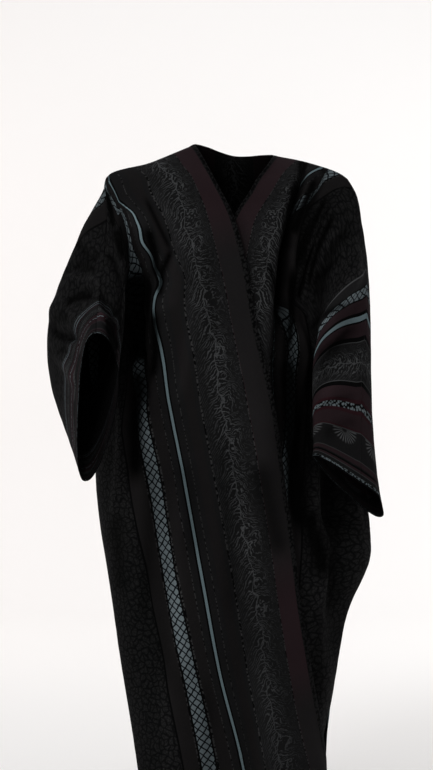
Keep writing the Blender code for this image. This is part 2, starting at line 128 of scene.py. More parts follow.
LEFT_RINGS = table(
    "over front under back",
    ((228, 0, -43), (137, -55, -290), (210, 40, -496), (212, 100, -270)),
    ((259, -10, -169), (178, -108, -318), (240, 14, -522), (256, 56, -330)),
    ((264, -42, -292), (149, -122, -400), (256, 8, -585), (256, 34, -430)),
    ((251, -80, -455), (148, -145, -534), (264, 6, -661), (276, -6, -570)),
    ((246, -96, -660), (152, -152, -609), (276, 4, -728), (292, -32, -702)),
)
print(len(SECTIONS["z"]), "sections,", len(RIGHT_RINGS["over"]) + len(LEFT_RINGS["over"]), "sleeve rings")

# %% [markdown]
# A panel could be pinned and simulated, but then the folds would fall where the solver likes. The folds of
# this robe are known, so each panel is a surface of two parameters instead: rows run across the body and
# round the sleeve, columns hang down from the shoulder seam. A few rows and columns are placed by the
# tables, and smooth curves fill in the rest.

# %% Curves through the tables


def smoothstep(value):
    """Rise from 0 to 1 with a level start and end: 3 v squared less 2 v cubed."""
    value = np.clip(value, 0.0, 1.0)
    return value * value * (3.0 - 2.0 * value)


def spline(at, knots, values):
    """A smooth curve through the values at the knots: cubics whose slopes are the mean of their neighbours'."""
    at = np.asarray(at, dtype=float)
    knots = np.asarray(knots, dtype=float)
    values = np.asarray(values, dtype=float)
    tail = (1,) * (values.ndim - 1)
    gaps = np.diff(knots).reshape(-1, *tail)
    chords = np.diff(values, axis=0) / gaps
    inner = (chords[:-1] * gaps[1:] + chords[1:] * gaps[:-1]) / (gaps[:-1] + gaps[1:])
    slopes = np.concatenate([chords[:1], inner, chords[-1:]])
    cell = np.clip(np.searchsorted(knots, at, side="right") - 1, 0, len(knots) - 2)
    step = (knots[1:] - knots[:-1])[cell]
    t = ((at - knots[cell]) / step).reshape(-1, *tail)
    step = step.reshape(-1, *tail)
    start = values[cell] * (1 + 2 * t) * (1 - t) ** 2 + slopes[cell] * step * t * (1 - t) ** 2
    end = values[cell + 1] * t**2 * (3 - 2 * t) - slopes[cell + 1] * step * t**2 * (1 - t)
    return start + end


def read_table(rows, column, z):
    """A column of a table of heights, read smoothly at the heights z."""
    z = np.asarray(z, dtype=float)
    flat = spline(np.clip(z, rows["z"][-1], rows["z"][0]).ravel(), rows["z"][::-1], rows[column][::-1])
    return flat.reshape(z.shape)


def read_straight(rows, column, z):
    """A column of a table of heights, read along straight lines at the heights z."""
    return np.interp(z, rows["z"][::-1], rows[column][::-1])


def shoulder_line(x):
    """Height of the shoulder seam over each x: straight lines between the neck points and the armholes."""
    right, left = RIGHT_RINGS["over"][0], LEFT_RINGS["over"][0]
    knots = (right[0], NECK_RIGHT[0], NECK_LEFT[0], left[0])
    return np.interp(x, knots, (right[2], NECK_RIGHT[2], NECK_LEFT[2], left[2]))


def form_depth(x, z, face):
    """Depth of the body at (x, z): half an ellipse across, which rounds over to nothing at the shoulder."""
    reach = np.where(x < 0, read_table(SECTIONS, "right", z), read_table(SECTIONS, "left", z))
    side_y = np.where(x < 0, read_table(SECTIONS, "right_y", z), read_table(SECTIONS, "left_y", z))
    across = np.clip(x / reach, 0.0, 1.0)
    drop = np.clip((shoulder_line(x) - z) / SHOULDER_ROUND, 0.0, 1.0)
    rounding = np.sqrt(1 - (1 - drop) ** 2)
    return side_y * across**2 + read_table(SECTIONS, face, z) * rounding * np.sqrt(1 - across**2)


print("the chest stands", round(float(-form_depth(np.zeros(1), np.full(1, -0.3), "front")[0]), 3), "m forward")

# %% Rows across the body and rings round the sleeves
ARC_POINTS = 241
TINY = 1e-6
FADE_REACH = 0.5


def along(points):
    """Distance run along a row of points, as fractions of its whole length."""
    run = np.concatenate([[0.0], np.cumsum(np.linalg.norm(np.diff(points, axis=0), axis=1))])
    return run / run[-1]


def section_arc(z, start, end, face, fractions):
    """Points on the level section at height z, from x start to x end, at the fractions of the way."""
    swing = np.cos(np.linspace(0.0, np.pi, ARC_POINTS))
    x = -swing * np.where(swing > 0, -read_table(SECTIONS, "right", z), read_table(SECTIONS, "left", z))
    x = x[(x > min(start, end) + TINY) & (x < max(start, end) - TINY)]
    x = np.concatenate([[start], x if start < end else x[::-1], [end]])
    level = np.full_like(x, z)
    arc = np.column_stack([x, form_depth(x, level, face), level])
    run = along(arc)
    return np.column_stack([np.interp(fractions, run, arc[:, i]) for i in range(3)])


def sleeve_rings(rings, turn):
    """Points of a sleeve's rings: loops with one and two waves a turn, through their four quarter points."""
    angle = (np.pi * turn)[:, None]
    loops = []
    for over, front, under, back in zip(*rings.values()):
        first = (over - under) / 2 * np.cos(angle) + (front - back) / 2 * np.sin(angle)
        second = (over - front + under - back) / 4 * np.cos(2 * angle)
        loops.append((over + front + under + back) / 4 + first + second)
    return loops


def edge_points(edge, heights):
    """Points of a front edge where it lies on the body."""
    x = read_table(edge, "x", heights)
    return np.column_stack([x, form_depth(x, heights, "front"), heights])


def upper_stations(stations, columns):
    """Rows drawn smoothly through stations, with a count of columns from one named station to another."""
    stations = np.array(stations)
    chord = np.linalg.norm(np.diff(stations, axis=0), axis=2).mean(axis=1)
    knots = np.concatenate([[0.0], np.cumsum(chord)])
    places = [knots[columns[0][0]] + np.zeros(1)]
    for first, last, count in columns:
        places.append(np.linspace(knots[first], knots[last], count + 1)[1:])
    return spline(np.concatenate(places), knots, stations).transpose(1, 0, 2)


def fade_to(grid, border, row):
    """Move a row of the grid onto its border curve, and the rows near it by less and less."""
    rows = np.linspace(0.0, 1.0, len(grid))
    weight = 1 - smoothstep(np.abs(rows - row) / FADE_REACH)
    line = grid[int(round(row * (len(grid) - 1)))]
    return grid + weight[:, None, None] * (border - line)[None]


def seam_curve(points, columns):
    """A seam through its points, with the same columns as the rows beside it."""
    return upper_stations([np.array([p]) for p in points], columns)[0]


def side_of(neck):
    """The side of the body on which a neck point lies."""
    return "right" if neck[0] < 0 else "left"


def over_seam(rings, neck):
    """Shoulder and overarm seam, from the neck point to the cuff."""
    neck = np.array(neck)
    middle = (neck + rings["over"][0]) / 2 + np.array([0.0, 0.0, SHOULDER_RISE[side_of(neck)]])
    points = [neck, middle, *rings["over"]]
    return seam_curve(points, [(0, 2, FRONT_COLUMNS), (2, len(points) - 1, SLEEVE_COLUMNS)])


def under_seam(rings):
    """Underarm seam, from the underarm to the cuff."""
    return seam_curve(list(rings["under"]), [(0, len(rings["under"]) - 1, SLEEVE_COLUMNS)])


print("rings and seams are ready")

# %% [markdown]
# Now the three panels as coarse nets. A front starts at its straight edge, goes round the chest to the
# armhole and on through the sleeve rings to the cuff. The back does the same from cuff to cuff.

# %% Coarse nets of the three panels
UPPER_SHARES = np.linspace(0.0, 1.0, UPPER_ROWS + 1)
LOWER_HEIGHTS = np.linspace(UNDERARM_Z, HEM_Z, LOWER_ROWS + 1)
NAPE_STEEPNESS = 6
BACK_STEEPNESS = 4


def onto_form(points, face, weight):
    """Move points in depth towards the body's form, by a weight."""
    points[..., 1] += weight * (form_depth(points[..., 0], points[..., 2], face) - points[..., 1])


def lower_rows(starts, ends, face, fractions):
    """Rows below the underarm: level sections from one x to another, read off at the same fractions."""
    return np.array([section_arc(z, *pair, face, fractions) for z, *pair in zip(LOWER_HEIGHTS, starts, ends)])


def front_grids(rings, edge, neck):
    """Rows of a front, above and below the underarm: from the edge, over the chest, to the sleeve's rings."""
    loops = sleeve_rings(rings, UPPER_SHARES)
    start = edge_points(edge, neck[2] + (UNDERARM_Z - neck[2]) * UPPER_SHARES)
    stations = [start]
    for part in (1 / 3, 2 / 3):
        point = start + (loops[0] - start) * part
        point[:, 1] = form_depth(point[:, 0], point[:, 2], "front")
        stations.append(point)
    stations += loops
    upper = upper_stations(stations, [(0, 3, FRONT_COLUMNS), (3, len(stations) - 1, SLEEVE_COLUMNS)])
    across = np.linspace(0.0, 1.0, FRONT_COLUMNS + 1)
    weight = 1 - smoothstep((across - FRONT_ON_FORM) / (1 - FRONT_ON_FORM))
    onto_form(upper[:, : FRONT_COLUMNS + 1], "front", weight)
    upper = fade_to(upper, over_seam(rings, neck), 0.0)
    ends = read_table(edge, "x", LOWER_HEIGHTS), read_table(SECTIONS, side_of(neck), LOWER_HEIGHTS)
    lower = lower_rows(*ends, "front", along(upper[-1, : FRONT_COLUMNS + 1]))
    border = np.concatenate([lower[0], under_seam(rings)[1:]])
    return fade_to(upper, border, 1.0), lower


def back_grids():
    """Rows of the back, above and below the underarm, from the right cuff over the body to the left cuff."""
    right, left = (sleeve_rings(rings, -UPPER_SHARES) for rings in (RIGHT_RINGS, LEFT_RINGS))
    share = UPPER_SHARES[:, None]
    middle = []
    for top in (NECK_RIGHT, NECK_BACK, NECK_LEFT):
        point = np.array([top[0], 0.0, UNDERARM_Z]) * share + np.array(top) * (1 - share)
        level = form_depth(point[:, 0], point[:, 2], "back")
        point[:, 1] = top[1] + (level - top[1]) * smoothstep(UPPER_SHARES * NAPE_STEEPNESS)
        middle.append(point)
    neck = len(right)
    last = neck + 2 + len(left)
    counts = [SLEEVE_COLUMNS, FRONT_COLUMNS, NECK_COLUMNS, FRONT_COLUMNS, SLEEVE_COLUMNS]
    named = [0, neck - 1, neck, neck + 2, neck + 3, last]
    upper = upper_stations([*right[::-1], *middle, *left], list(zip(named, named[1:], counts)))
    first = SLEEVE_COLUMNS
    width = 2 * FRONT_COLUMNS + NECK_COLUMNS + 1
    body = upper[:, first : first + width]
    across = np.linspace(-1.0, 1.0, width)
    onto_form(body, "back", smoothstep((1 - np.abs(across)) / BACK_BLEND) * smoothstep(share * BACK_STEEPNESS))
    neckline = body[0, FRONT_COLUMNS + 1 : FRONT_COLUMNS + NECK_COLUMNS]
    over = [over_seam(RIGHT_RINGS, NECK_RIGHT)[::-1], neckline, over_seam(LEFT_RINGS, NECK_LEFT)]
    upper = fade_to(upper, np.concatenate(over), 0.0)
    ends = (read_table(SECTIONS, side, LOWER_HEIGHTS) for side in ("right", "left"))
    lower = lower_rows(*ends, "back", along(upper[-1, first : first + width]))
    under = [under_seam(RIGHT_RINGS)[:0:-1], lower[0], under_seam(LEFT_RINGS)[1:]]
    return fade_to(upper, np.concatenate(under), 1.0), lower


right_front = [grid[:, ::-1] for grid in front_grids(RIGHT_RINGS, RIGHT_EDGE, NECK_RIGHT)]
left_front = front_grids(LEFT_RINGS, LEFT_EDGE, NECK_LEFT)
COARSE = {
    "front_right": (*right_front, SLEEVE_COLUMNS),
    "front_left": (*left_front, 0),
    "back": (*back_grids(), SLEEVE_COLUMNS),
}
print({name: (upper.shape[:2], lower.shape[:2]) for name, (upper, lower, _) in COARSE.items()})

# %% [markdown]
# Cloth never turns as sharply as a net of straight rows, so the coarse net is rounded where it turns
# tightly, in the same passes as the solid. Then each net is drawn five times finer, which leaves cells of
# 5 to 9 mm: small enough for folds and creases, and few enough to render fast.

# %% Round the nets and draw them finer
ROUNDING_PASSES = 6
ROUNDING_FADE = 0.16
FINER = 5
ROW_STEP = 0.029
LOWER_ROW_STEP = 0.0455


def net_faces(upper_shape, lower_shape, first):
    """Four-sided faces of a panel's two grids, which share the underarm row, and the grids' point numbers."""
    rows, columns = upper_shape
    width = lower_shape[1]
    top = np.arange(rows * columns).reshape(rows, columns)
    below = rows * columns + np.arange((lower_shape[0] - 1) * width).reshape(-1, width)
    bottom = np.concatenate([top[-1:, first : first + width], below])
    faces = [
        np.stack([grid[:-1, :-1], grid[1:, :-1], grid[1:, 1:], grid[:-1, 1:]], axis=-1).reshape(-1, 4)
        for grid in (top, bottom)
    ]
    return np.concatenate(faces), top, bottom


def net_points(upper, lower):
    """The points of both grids in one list, without the row that they share."""
    return np.concatenate([upper.reshape(-1, upper.shape[-1]), lower[1:].reshape(-1, lower.shape[-1])])


def rounded(points, faces):
    """The net with its tight turns rounded: inner points go halfway to the mean of their neighbours."""
    sides = np.sort(np.concatenate([faces[:, [i, (i + 1) % 4]] for i in range(4)]), axis=1)
    sides, uses = np.unique(sides, axis=0, return_counts=True)
    outline = np.unique(sides[uses == 1])
    count = np.bincount(sides.ravel())[:, None]
    share = smoothstep(1 + (points[:, 2:] - UNDERARM_Z) / ROUNDING_FADE) / 2
    for _ in range(ROUNDING_PASSES):
        total = np.zeros_like(points)
        np.add.at(total, sides[:, 0], points[sides[:, 1]])
        np.add.at(total, sides[:, 1], points[sides[:, 0]])
        middle = total / count
        middle[outline] = points[outline]
        points = points + (middle - points) * share
    return points


def finer(grid, knots):
    """A grid drawn smoothly through a coarser one, first along its rows and then down its columns."""
    column = np.arange(grid.shape[1], dtype=float)
    many = np.linspace(0, column[-1], (len(column) - 1) * FINER + 1)
    grid = spline(many, column, grid.transpose(1, 0, 2)).transpose(1, 0, 2)
    at = np.interp(np.linspace(0, len(knots) - 1, (len(knots) - 1) * FINER + 1), np.arange(len(knots)), knots)
    return spline(at, knots, grid)


UPPER_KNOTS = np.arange(UPPER_ROWS + 1) * ROW_STEP
ROW_KNOTS = np.concatenate([UPPER_KNOTS, UPPER_KNOTS[-1] + np.arange(1, LOWER_ROWS + 1) * LOWER_ROW_STEP])
fine = {}
for name, (upper, lower, first) in COARSE.items():
    faces, top, bottom = net_faces(upper.shape[:2], lower.shape[:2], first)
    points = rounded(net_points(upper, lower), faces)
    upper, lower = points[top], points[bottom]
    width = lower.shape[1]
    body = np.concatenate([upper[:, first : first + width], lower[1:]])
    body = finer(body, ROW_KNOTS)
    split = UPPER_ROWS * FINER
    upper = finer(upper, ROW_KNOTS[: UPPER_ROWS + 1])
    first *= FINER
    upper[:, first : first + body.shape[1]] = body[: split + 1]
    fine[name] = (upper, body[split:], first)
    print(name, "has", upper.shape[0] * upper.shape[1] + body[split:].size // 3, "points a side")

# %% [markdown]
# The stripes are woven parallel to the front edge, so the pattern follows the cloth and not the room. Each
# point gets two lengths, in metres: how far it lies from the front edge, and how far down from the shoulder
# seam. They become the panel's UV map. Part of the cloth is tucked away in deep folds, and there the first
# length jumps.

# %% Lay out the cloth: distances from the front edge and from the shoulder
NECK_HALF = 0.09
CUFF_PLACE = 0.90

# How much of the stripes' order each sleeve has used up, by the share of its length that is run
SLEEVE_SHARES = table(
    "run right left",
    (0, 0, 0), (50, 60, 40), (120, 100, 96), (300, 160, 265), (400, 193, 372), (740, 307, 702), (780, 320, 738),
    (820, 550, 775), (880, 700, 835), (1000, 1000, 1000),
)

# Each tuck: how wide it opens, then where it lies and how much cloth it hides, at each height
TUCKS = {
    "front_left": (
        (0.006, table(
            "z x hidden",
            (0, 140, 90), (-60, 130, 110), (-125, 112, 160), (-200, 96, 165), (-300, 86, 150), (-320, 84, 110),
            (-370, 80, 85), (-400, 78, 72), (-560, 85, 55), (-700, 95, 70), (-1410, 110, 70),
        )),
        (0.010, table(
            "z x hidden",
            (0, 190, 40), (-69, 168, 30), (-140, 130, 10), (-337, 112, 0), (-500, 130, 10), (-700, 120, 10),
            (-1410, 130, 10),
        )),
    ),
    "front_right": (
        (0.014, table(
            "z x hidden",
            (-180, 222, 0), (-260, 218, 30), (-420, 218, 30), (-560, 222, 0),
        )),
    ),
}

# Cloth hidden in each half of the back, between the middle and the side seam
BACK_HIDDEN = table(
    "z right left",
    (0, 0, 130), (-120, 0, 110), (-500, 40, 60), (-1410, 40, 40),
)
HIDDEN_FROM = 0.56
HIDDEN_OVER = 0.4

# Where three stripes of the upper front lie across the body, read at each height: stem, blue and net
STRIPE_LINES = table(
    "z stem blue net",
    (-60, -124, -260, -320), (-97, -112, -236, -292), (-118, -107, -207, -262), (-144, -101, -190, -240),
    (-181, -92, -178, -225), (-219, -83, -158, -203), (-264, -71, -142, -208), (-290, -65, -152, -213),
    (-341, -55, -156, -213), (-387, -46, -148, -208), (-505, -29, -131, -191), (-611, -11, -110, -172),
    (-751, 14, -84, -149), (-870, 35, -62, -127), (-1049, 60, -29, -88), (-1173, 77, 4, -63),
    (-1410, 105, 52, -20),
)
STRIPE_PLACES = {"stem": 0.0900, "blue": 0.1970, "net": 0.2620}
LINES_FROM = 0.02
LINES_OVER = 0.04
LEAST_BAND = 0.01
SLEEVE_SETTLED = 0.25
FLOWERS = (0.330, 0.455)


def run_along(grid):
    """Length run along each row of a grid, from its first column."""
    step = np.linalg.norm(np.diff(grid, axis=1), axis=2)
    return np.concatenate([np.zeros((len(grid), 1)), np.cumsum(step, axis=1)], axis=1)


def tucked(name, grid):
    """Cloth hidden between the front edge and each point: every tuck adds its share within a narrow step."""
    hidden = np.zeros(grid.shape[:2])
    side = -1 if name == "front_right" else 1
    for width, tuck in TUCKS[name]:
        past = side * grid[..., 0] - read_straight(tuck, "x", grid[..., 2])
        hidden += read_straight(tuck, "hidden", grid[..., 2]) * smoothstep(past / width + 0.5)
    return hidden


def eased(grid, run):
    """Places on the upper front: the run, eased so that three stripes lie along their lines.

    In each row the run is read where the row crosses each line, and the places between are shared out evenly.
    Near the shoulder the plain run holds.
    """
    places = run.copy()
    for row, (points, length) in enumerate(zip(grid, run)):
        marks = [0.0]
        for line in STRIPE_PLACES:
            past = read_table(STRIPE_LINES, line, points[:, 2]) - points[:, 0]
            marks.append(max(np.interp(0.0, past, length), marks[-1] + LEAST_BAND))
        targets = [0.0, *STRIPE_PLACES.values()]
        shared = np.interp(length, marks, targets) + np.maximum(length - marks[-1], 0.0)
        level = smoothstep((-points[:, 2] - LINES_FROM) / LINES_OVER)
        places[row] = length + (shared - length) * level
    return places


def sleeve_places(run, start, side):
    """Places on the sleeve, from the armhole's to the cuff's. On the right, one deep fold hides a part.

    A little way down the sleeve, all rows follow the one at the overarm seam.
    """
    share = (run - run[:, :1]) / (run[:, -1:] - run[:, :1])
    start = start + (start[:1] - start) * smoothstep(share / SLEEVE_SETTLED)
    return start + (CUFF_PLACE - start) * np.interp(share, SLEEVE_SHARES["run"], SLEEVE_SHARES[side])


def drawn_in(places):
    """Places past the net are drawn in, row by row, so that the flowers reach the side seam."""
    start, end = FLOWERS
    share = np.minimum(1.0, (end - start) / np.maximum(places[:, -1:] - start, TINY))
    return np.where(places > start, start + (places - start) * share, places)


def front_places(name, upper, lower):
    """Distance of each point of a front from its straight edge, on both grids, from the edge outwards."""
    armhole = FRONT_COLUMNS * FINER
    run = run_along(upper)
    body, below = run[:, : armhole + 1], run_along(lower)
    if name == "front_right":
        body, below = eased(upper[:, : armhole + 1], body), eased(lower, below)
    body = body + tucked(name, upper[:, : armhole + 1])
    sleeve = sleeve_places(run[:, armhole:], body[:, -1:], name.split("_")[1])
    return np.concatenate([body, sleeve[:, 1:]], axis=1), drawn_in(below + tucked(name, lower))


def back_half(upper, lower, side):
    """Distance of each point of half the back from the line of its neck point, from the centre outwards."""
    armhole = (NECK_COLUMNS // 2 + FRONT_COLUMNS) * FINER
    places = []
    for grid in (upper[:, : armhole + 1], lower):
        run = run_along(grid)
        hidden = read_straight(BACK_HIDDEN, side, grid[:, :1, 2])
        share = (run / run[:, -1:] - HIDDEN_FROM) / HIDDEN_OVER
        places.append(run + hidden * smoothstep(share) - NECK_HALF)
    run = run_along(upper)[:, armhole:]
    sleeve = sleeve_places(run, places[0][:, -1:], side)
    return np.concatenate([places[0], sleeve[:, 1:]], axis=1), places[1]


def down_columns(upper, lower, first):
    """Length run down each column from the shoulder seam, on both grids."""
    top = run_along(upper.transpose(1, 0, 2)).T
    below = run_along(lower.transpose(1, 0, 2)).T
    return top, below + top[-1, first : first + lower.shape[1]]


layout = {}
for name, (upper, lower, first) in fine.items():
    if name == "front_right":
        place = [p[:, ::-1] + NECK_HALF for p in front_places(name, upper[:, ::-1], lower[:, ::-1])]
    elif name == "front_left":
        place = [p + NECK_HALF for p in front_places(name, upper, lower)]
    else:
        centre = (SLEEVE_COLUMNS + FRONT_COLUMNS + NECK_COLUMNS // 2) * FINER
        middle = centre - first
        left = back_half(upper[:, centre:], lower[:, middle:], "left")
        right = back_half(upper[:, centre::-1], lower[:, middle::-1], "right")
        place = [
            np.concatenate([-(r + NECK_HALF)[:, :0:-1], ll + NECK_HALF], axis=1) for r, ll in zip(right, left)
        ]
    depth = down_columns(upper, lower, first)
    layout[name] = [np.dstack([p, d]) for p, d in zip(place, depth)]
    print(name, "places run from", round(place[0].min(), 3), "to", round(place[0].max(), 3))

# %% [markdown]
# Folds are what makes it cloth. The large ones are the solid's own: round ridges and troughs about a line.
# Finer creases follow, bowed and steeper on one side, and short hollows beside them. Both are placed as
# the photo shows them, with similar ones where it shows nothing. The colour carries painted shade and
# highlight from them: darker in troughs and hollows, lighter on ridges. Last comes a slight unevenness
# all over, because no worn cloth is quite smooth.

# %% Large folds, creases and hollows


def fold_rows(columns, groups):
    """A table of folds, one dictionary a fold: where it lies, and its numbers from thousandths."""
    rows = []
    for where, lines in groups.items():
        for numbers in lines:
            row = dict(zip(columns.split(), np.array(numbers) / 1000))
            rows.append({**dict(zip(("panel", "part", "face"), where.split())), **row})
    return rows


FOLDS = fold_rows(
    "x0 z0 x1 z1 width rise",
    {
        "front_right body front": (
            (-225, -110, -140, -265, 24, 12), (-135, -200, -185, -430, 26, 14),
            (-214, -180, -216, -440, 24, -12), (-190, -480, -230, -900, 30, 8),
            (-140, -560, -150, -1100, 32, -7),
        ),
        "fronts body front": (
            (95, -360, 125, -760, 28, -14), (20, -330, 75, -900, 35, 8), (-10, -900, 50, -1380, 40, -8),
        ),
        "front_left body front": (
            (202, -400, 222, -800, 50, -45), (225, -700, 190, -1050, 24, -14), (182, -60, 112, -285, 22, 14),
            (214, -95, 132, -335, 20, 12),
        ),
        "front_left sleeve front": (
            (262, -170, 190, -330, 26, 10), (262, -290, 185, -420, 26, -8),
        ),
        "back sleeve front": (
            (-350, -215, -270, -290, 22, -14), (-390, -300, -300, -345, 24, 10),
        ),
        "back body back": (
            (-90, -60, -150, -1300, 35, 12), (90, -60, 110, -1300, 35, 12), (-10, -120, -20, -1380, 40, -12),
            (-210, -120, -140, -560, 28, -14), (190, -120, 110, -560, 28, -14),
            (-230, -450, -170, -950, 28, 12), (200, -450, 160, -950, 28, 12),
        ),
    },
)
FOLD_FADE = 0.22
CREASES = fold_rows(
    "x0 z0 x1 z1 bow width rise skew",
    {
        "front_right body front": (
            (-180, -60, -105, -235, 12, 11, 4, 350), (-240, -85, -175, -215, 10, 9, 4.5, 300),
            (-122, -165, -150, -330, 14, 12, 6, 450), (-168, -235, -160, -420, -10, 10, -5.5, 200),
            (-85, -260, -125, -520, 10, 14, 3.5, -300), (-55, -160, -40, -400, -6, 14, -2.2, 100),
            (-205, -300, -185, -520, 6, 10, -8, 0), (-232, -470, -250, -760, 10, 13, 5, 300),
            (-175, -560, -195, -980, 8, 13, -4, 200), (-110, -620, -105, -1080, -8, 18, 3.5, -200),
            (-40, -520, -15, -980, 10, 18, -2.8, 200), (-150, -1000, -120, -1400, 6, 18, 4.5, 200),
            (30, -960, 75, -1400, 8, 20, 4, -200), (-60, -1020, -40, -1400, -6, 18, -3.5, 200),
        ),
        "front_right sleeve front": (
            (-245, -150, -225, -290, 8, 10, 5, 300), (-290, -255, -222, -335, -16, 10, -10, 300),
            (-285, -290, -228, -360, -12, 12, 8, -300),
        ),
        "front_left body front": (
            (150, -50, 104, -240, -10, 10, 6, -400), (128, -60, 92, -250, -8, 12, -3, 100),
            (170, -50, 116, -270, -10, 9, -8.5, 200), (205, -70, 126, -300, -12, 8, -7.5, 200),
            (120, -330, 148, -560, 12, 11, 7, 300), (150, -380, 130, -640, 8, 10, -9, 200),
            (172, -560, 150, -780, 10, 13, 6, 300), (205, -640, 178, -960, 10, 13, -5.5, 300),
            (160, -820, 168, -1250, 6, 14, 3.5, 200),
        ),
        "front_left sleeve front": (
            (240, -130, 150, -320, -18, 12, -6, 400), (262, -225, 165, -375, -18, 12, 6, 400),
            (258, -340, 160, -455, -16, 13, -5, 300), (252, -430, 160, -500, -14, 14, 4, 300),
            (250, -540, 165, -570, -10, 14, -3.5, 200),
        ),
        "back sleeve front": (
            (-352, -235, -262, -262, -10, 11, 7, 300), (-330, -170, -270, -220, -8, 10, -5, 300),
            (-385, -345, -305, -375, -10, 10, -6.5, 300), (-378, -400, -315, -470, 12, 12, 5, 200),
        ),
        "back sleeve back": (
            (-350, -200, -290, -420, 16, 14, -7, 300), (-320, -150, -262, -360, 14, 14, 6, 300),
            (250, -240, 235, -440, -10, 14, -6, 300), (268, -440, 252, -640, -8, 14, 5, 300),
        ),
        "back body back": (
            (-185, -80, -105, -420, 18, 14, 6, 400), (165, -80, 90, -420, -18, 14, 6, -400),
            (-120, -120, -60, -520, 10, 16, -5, 300), (120, -120, 50, -520, -10, 16, -5, -300),
            (-190, -560, -200, -1000, 10, 16, -6, 300), (-60, -520, -85, -1150, -12, 18, -6, 300),
            (45, -480, 60, -1200, 12, 18, 5.5, 300), (150, -560, 135, -1100, 10, 16, -6, -300),
            (210, -620, 185, -1000, 6, 14, 5, -300), (20, -900, 10, -1400, 8, 20, 5, 200),
        ),
    },
)
# Hollows: short troughs whose colour is also darkened with painted shade; the last number sets both the depth
# and the painted shade, in thousandths
SHADED_HOLLOWS = fold_rows(
    "x0 z0 x1 z1 bow width dark",
    {
        "front_right both front": (
            (-199, -215, -202, -440, 0, 28, 1000), (-268, -60, -246, -160, 3, 6, 950),
            (-247, -150, -218, -230, 4, 9, 1000),
        ),
        "front_right body front": (
            (-204, -400, -198, -680, 0, 17, 800), (-180, -140, -140, -268, 0, 9, 800),
            (-187, -80, -126, -208, 0, 5, 600), (-127, -188, -147, -300, -4, 6, 800),
            (-160, -300, -176, -470, 8, 10, 750), (40, -600, 88, -820, 0, 24, 450),
            (-110, -600, -90, -820, 6, 22, 250), (-240, -700, -226, -900, 0, 16, 500),
        ),
        "front_right sleeve front": (
            (-250, -322, -218, -410, -10, 12, 950), (-236, -380, -216, -520, 0, 10, 800),
            (-262, -195, -225, -290, 6, 8, 500),
        ),
        "back sleeve front": (
            (-345, -312, -278, -292, 12, 10, 950), (-335, -215, -275, -245, 6, 8, 500),
            (-380, -345, -320, -335, 6, 9, 550), (-385, -420, -330, -395, 6, 9, 450),
        ),
        "front_left body front": (
            (131, -30, 94, -225, -4, 12, 1000), (97, -170, 84, -345, 0, 11, 1000),
            (104, -360, 134, -800, 6, 20, 1000), (62, -220, 78, -300, 3, 8, 600),
            (142, -700, 182, -860, 0, 22, 800), (168, -880, 160, -1150, 4, 14, 400),
        ),
        "front_left both front": (
            (168, -35, 112, -180, -6, 7, 1000), (190, -70, 122, -240, -10, 6, 850),
            (108, -215, 104, -420, 4, 8, 850), (207, -105, 142, -285, -10, 6, 900),
            (156, -180, 122, -305, -6, 5.5, 900), (92, -260, 112, -480, 0, 14, 600),
        ),
        "front_left sleeve front": (
            (215, -210, 135, -290, -10, 6, 550), (232, -300, 138, -372, -14, 6, 600),
            (240, -372, 150, -418, -12, 6, 450), (242, -490, 160, -510, -8, 6, 350),
        ),
        "back sleeve back": (
            (-330, -180, -285, -400, 12, 9, 700), (262, -200, 240, -460, -8, 9, 600),
        ),
        "back body back": (
            (-200, -100, -110, -460, 14, 10, 600), (180, -100, 100, -460, -14, 10, 600),
            (-30, -200, -45, -900, 10, 18, 450), (130, -520, 120, -1150, 8, 16, 450),
            (-160, -560, -165, -1150, 8, 16, 450),
        ),
    },
)
HOLLOW_DEPTH = 0.45
TUCK_DEPTH = 0.009
TUCK_CREASE = 0.009
TUCK_FULL = 0.05
FRONT_BOOST = 1.5
SEAM_STILL = 0.05
CREASE_STILL = 0.012
ARMHOLE_STEPS = 2
FACING_STEEPNESS = 2
LONG_WAVES = 0.0008
SHORT_WAVES = 0.00035
LEAST_LENGTH = 1e-12
BLOCK = 2000


def sheet_normals(points, faces):
    """Unit normals at the points of a net, from the faces that meet there."""
    one, two, three, four = (points[faces[:, i]] for i in range(4))
    facing = np.cross(three - one, four - two)
    normals = np.zeros_like(points)
    for i in range(4):
        np.add.at(normals, faces[:, i], facing)
    return normals / np.maximum(np.linalg.norm(normals, axis=1, keepdims=True), LEAST_LENGTH)


def own(rows, panel):
    """The folds of a table that belong to a panel."""
    return [row for row in rows if row["panel"] == panel or (row["panel"] == "fronts" and panel != "back")]


def line_lift(fold, points, normals, sleeve):
    """Lift by one fold: a bell about a bowed line, wider on one side, which fades towards both ends."""
    start = np.array([fold["x0"], fold["z0"]])
    run = np.array([fold["x1"], fold["z1"]]) - start
    length = np.linalg.norm(run)
    place = points[:, [0, 2]] - start
    part = place @ run / length**2
    side = place @ np.array([-run[1], run[0]]) / length - fold.get("bow", 0.0) * 4 * part * (1 - part)
    past = (part - np.clip(part, 0, 1)) * length
    away = np.sqrt(side**2 + past**2)
    ends = smoothstep(part / FOLD_FADE) * smoothstep((1 - part) / FOLD_FADE)
    facing = normals[:, 1] * (1 if fold["face"] == "back" else -1)
    here = {"sleeve": sleeve, "body": 1 - sleeve, "both": 1.0}[fold["part"]]
    width = fold["width"] * (1 + fold.get("skew", 0.0) * np.sign(side))
    rise = fold["rise"] if "rise" in fold else -HOLLOW_DEPTH * fold["width"] * fold["dark"]
    return rise * np.exp(-((away / width) ** 2)) * ends * here * smoothstep(facing * FACING_STEEPNESS)


def unevenness(points):
    """A few long waves down the cloth and some short ones, under a millimetre and a half in all."""
    x, y, z = points.T
    long = np.sin(x * 74 + 2.2 * np.sin(z * 9 + 1.0) + y * 31) * np.sin(z * 11 + x * 13 + 0.7)
    short = np.sin(x * 190 + 3 * np.sin(z * 23) + y * 140) * np.sin(z * 61 + x * 40 + y * 52)
    return LONG_WAVES * long + SHORT_WAVES * short


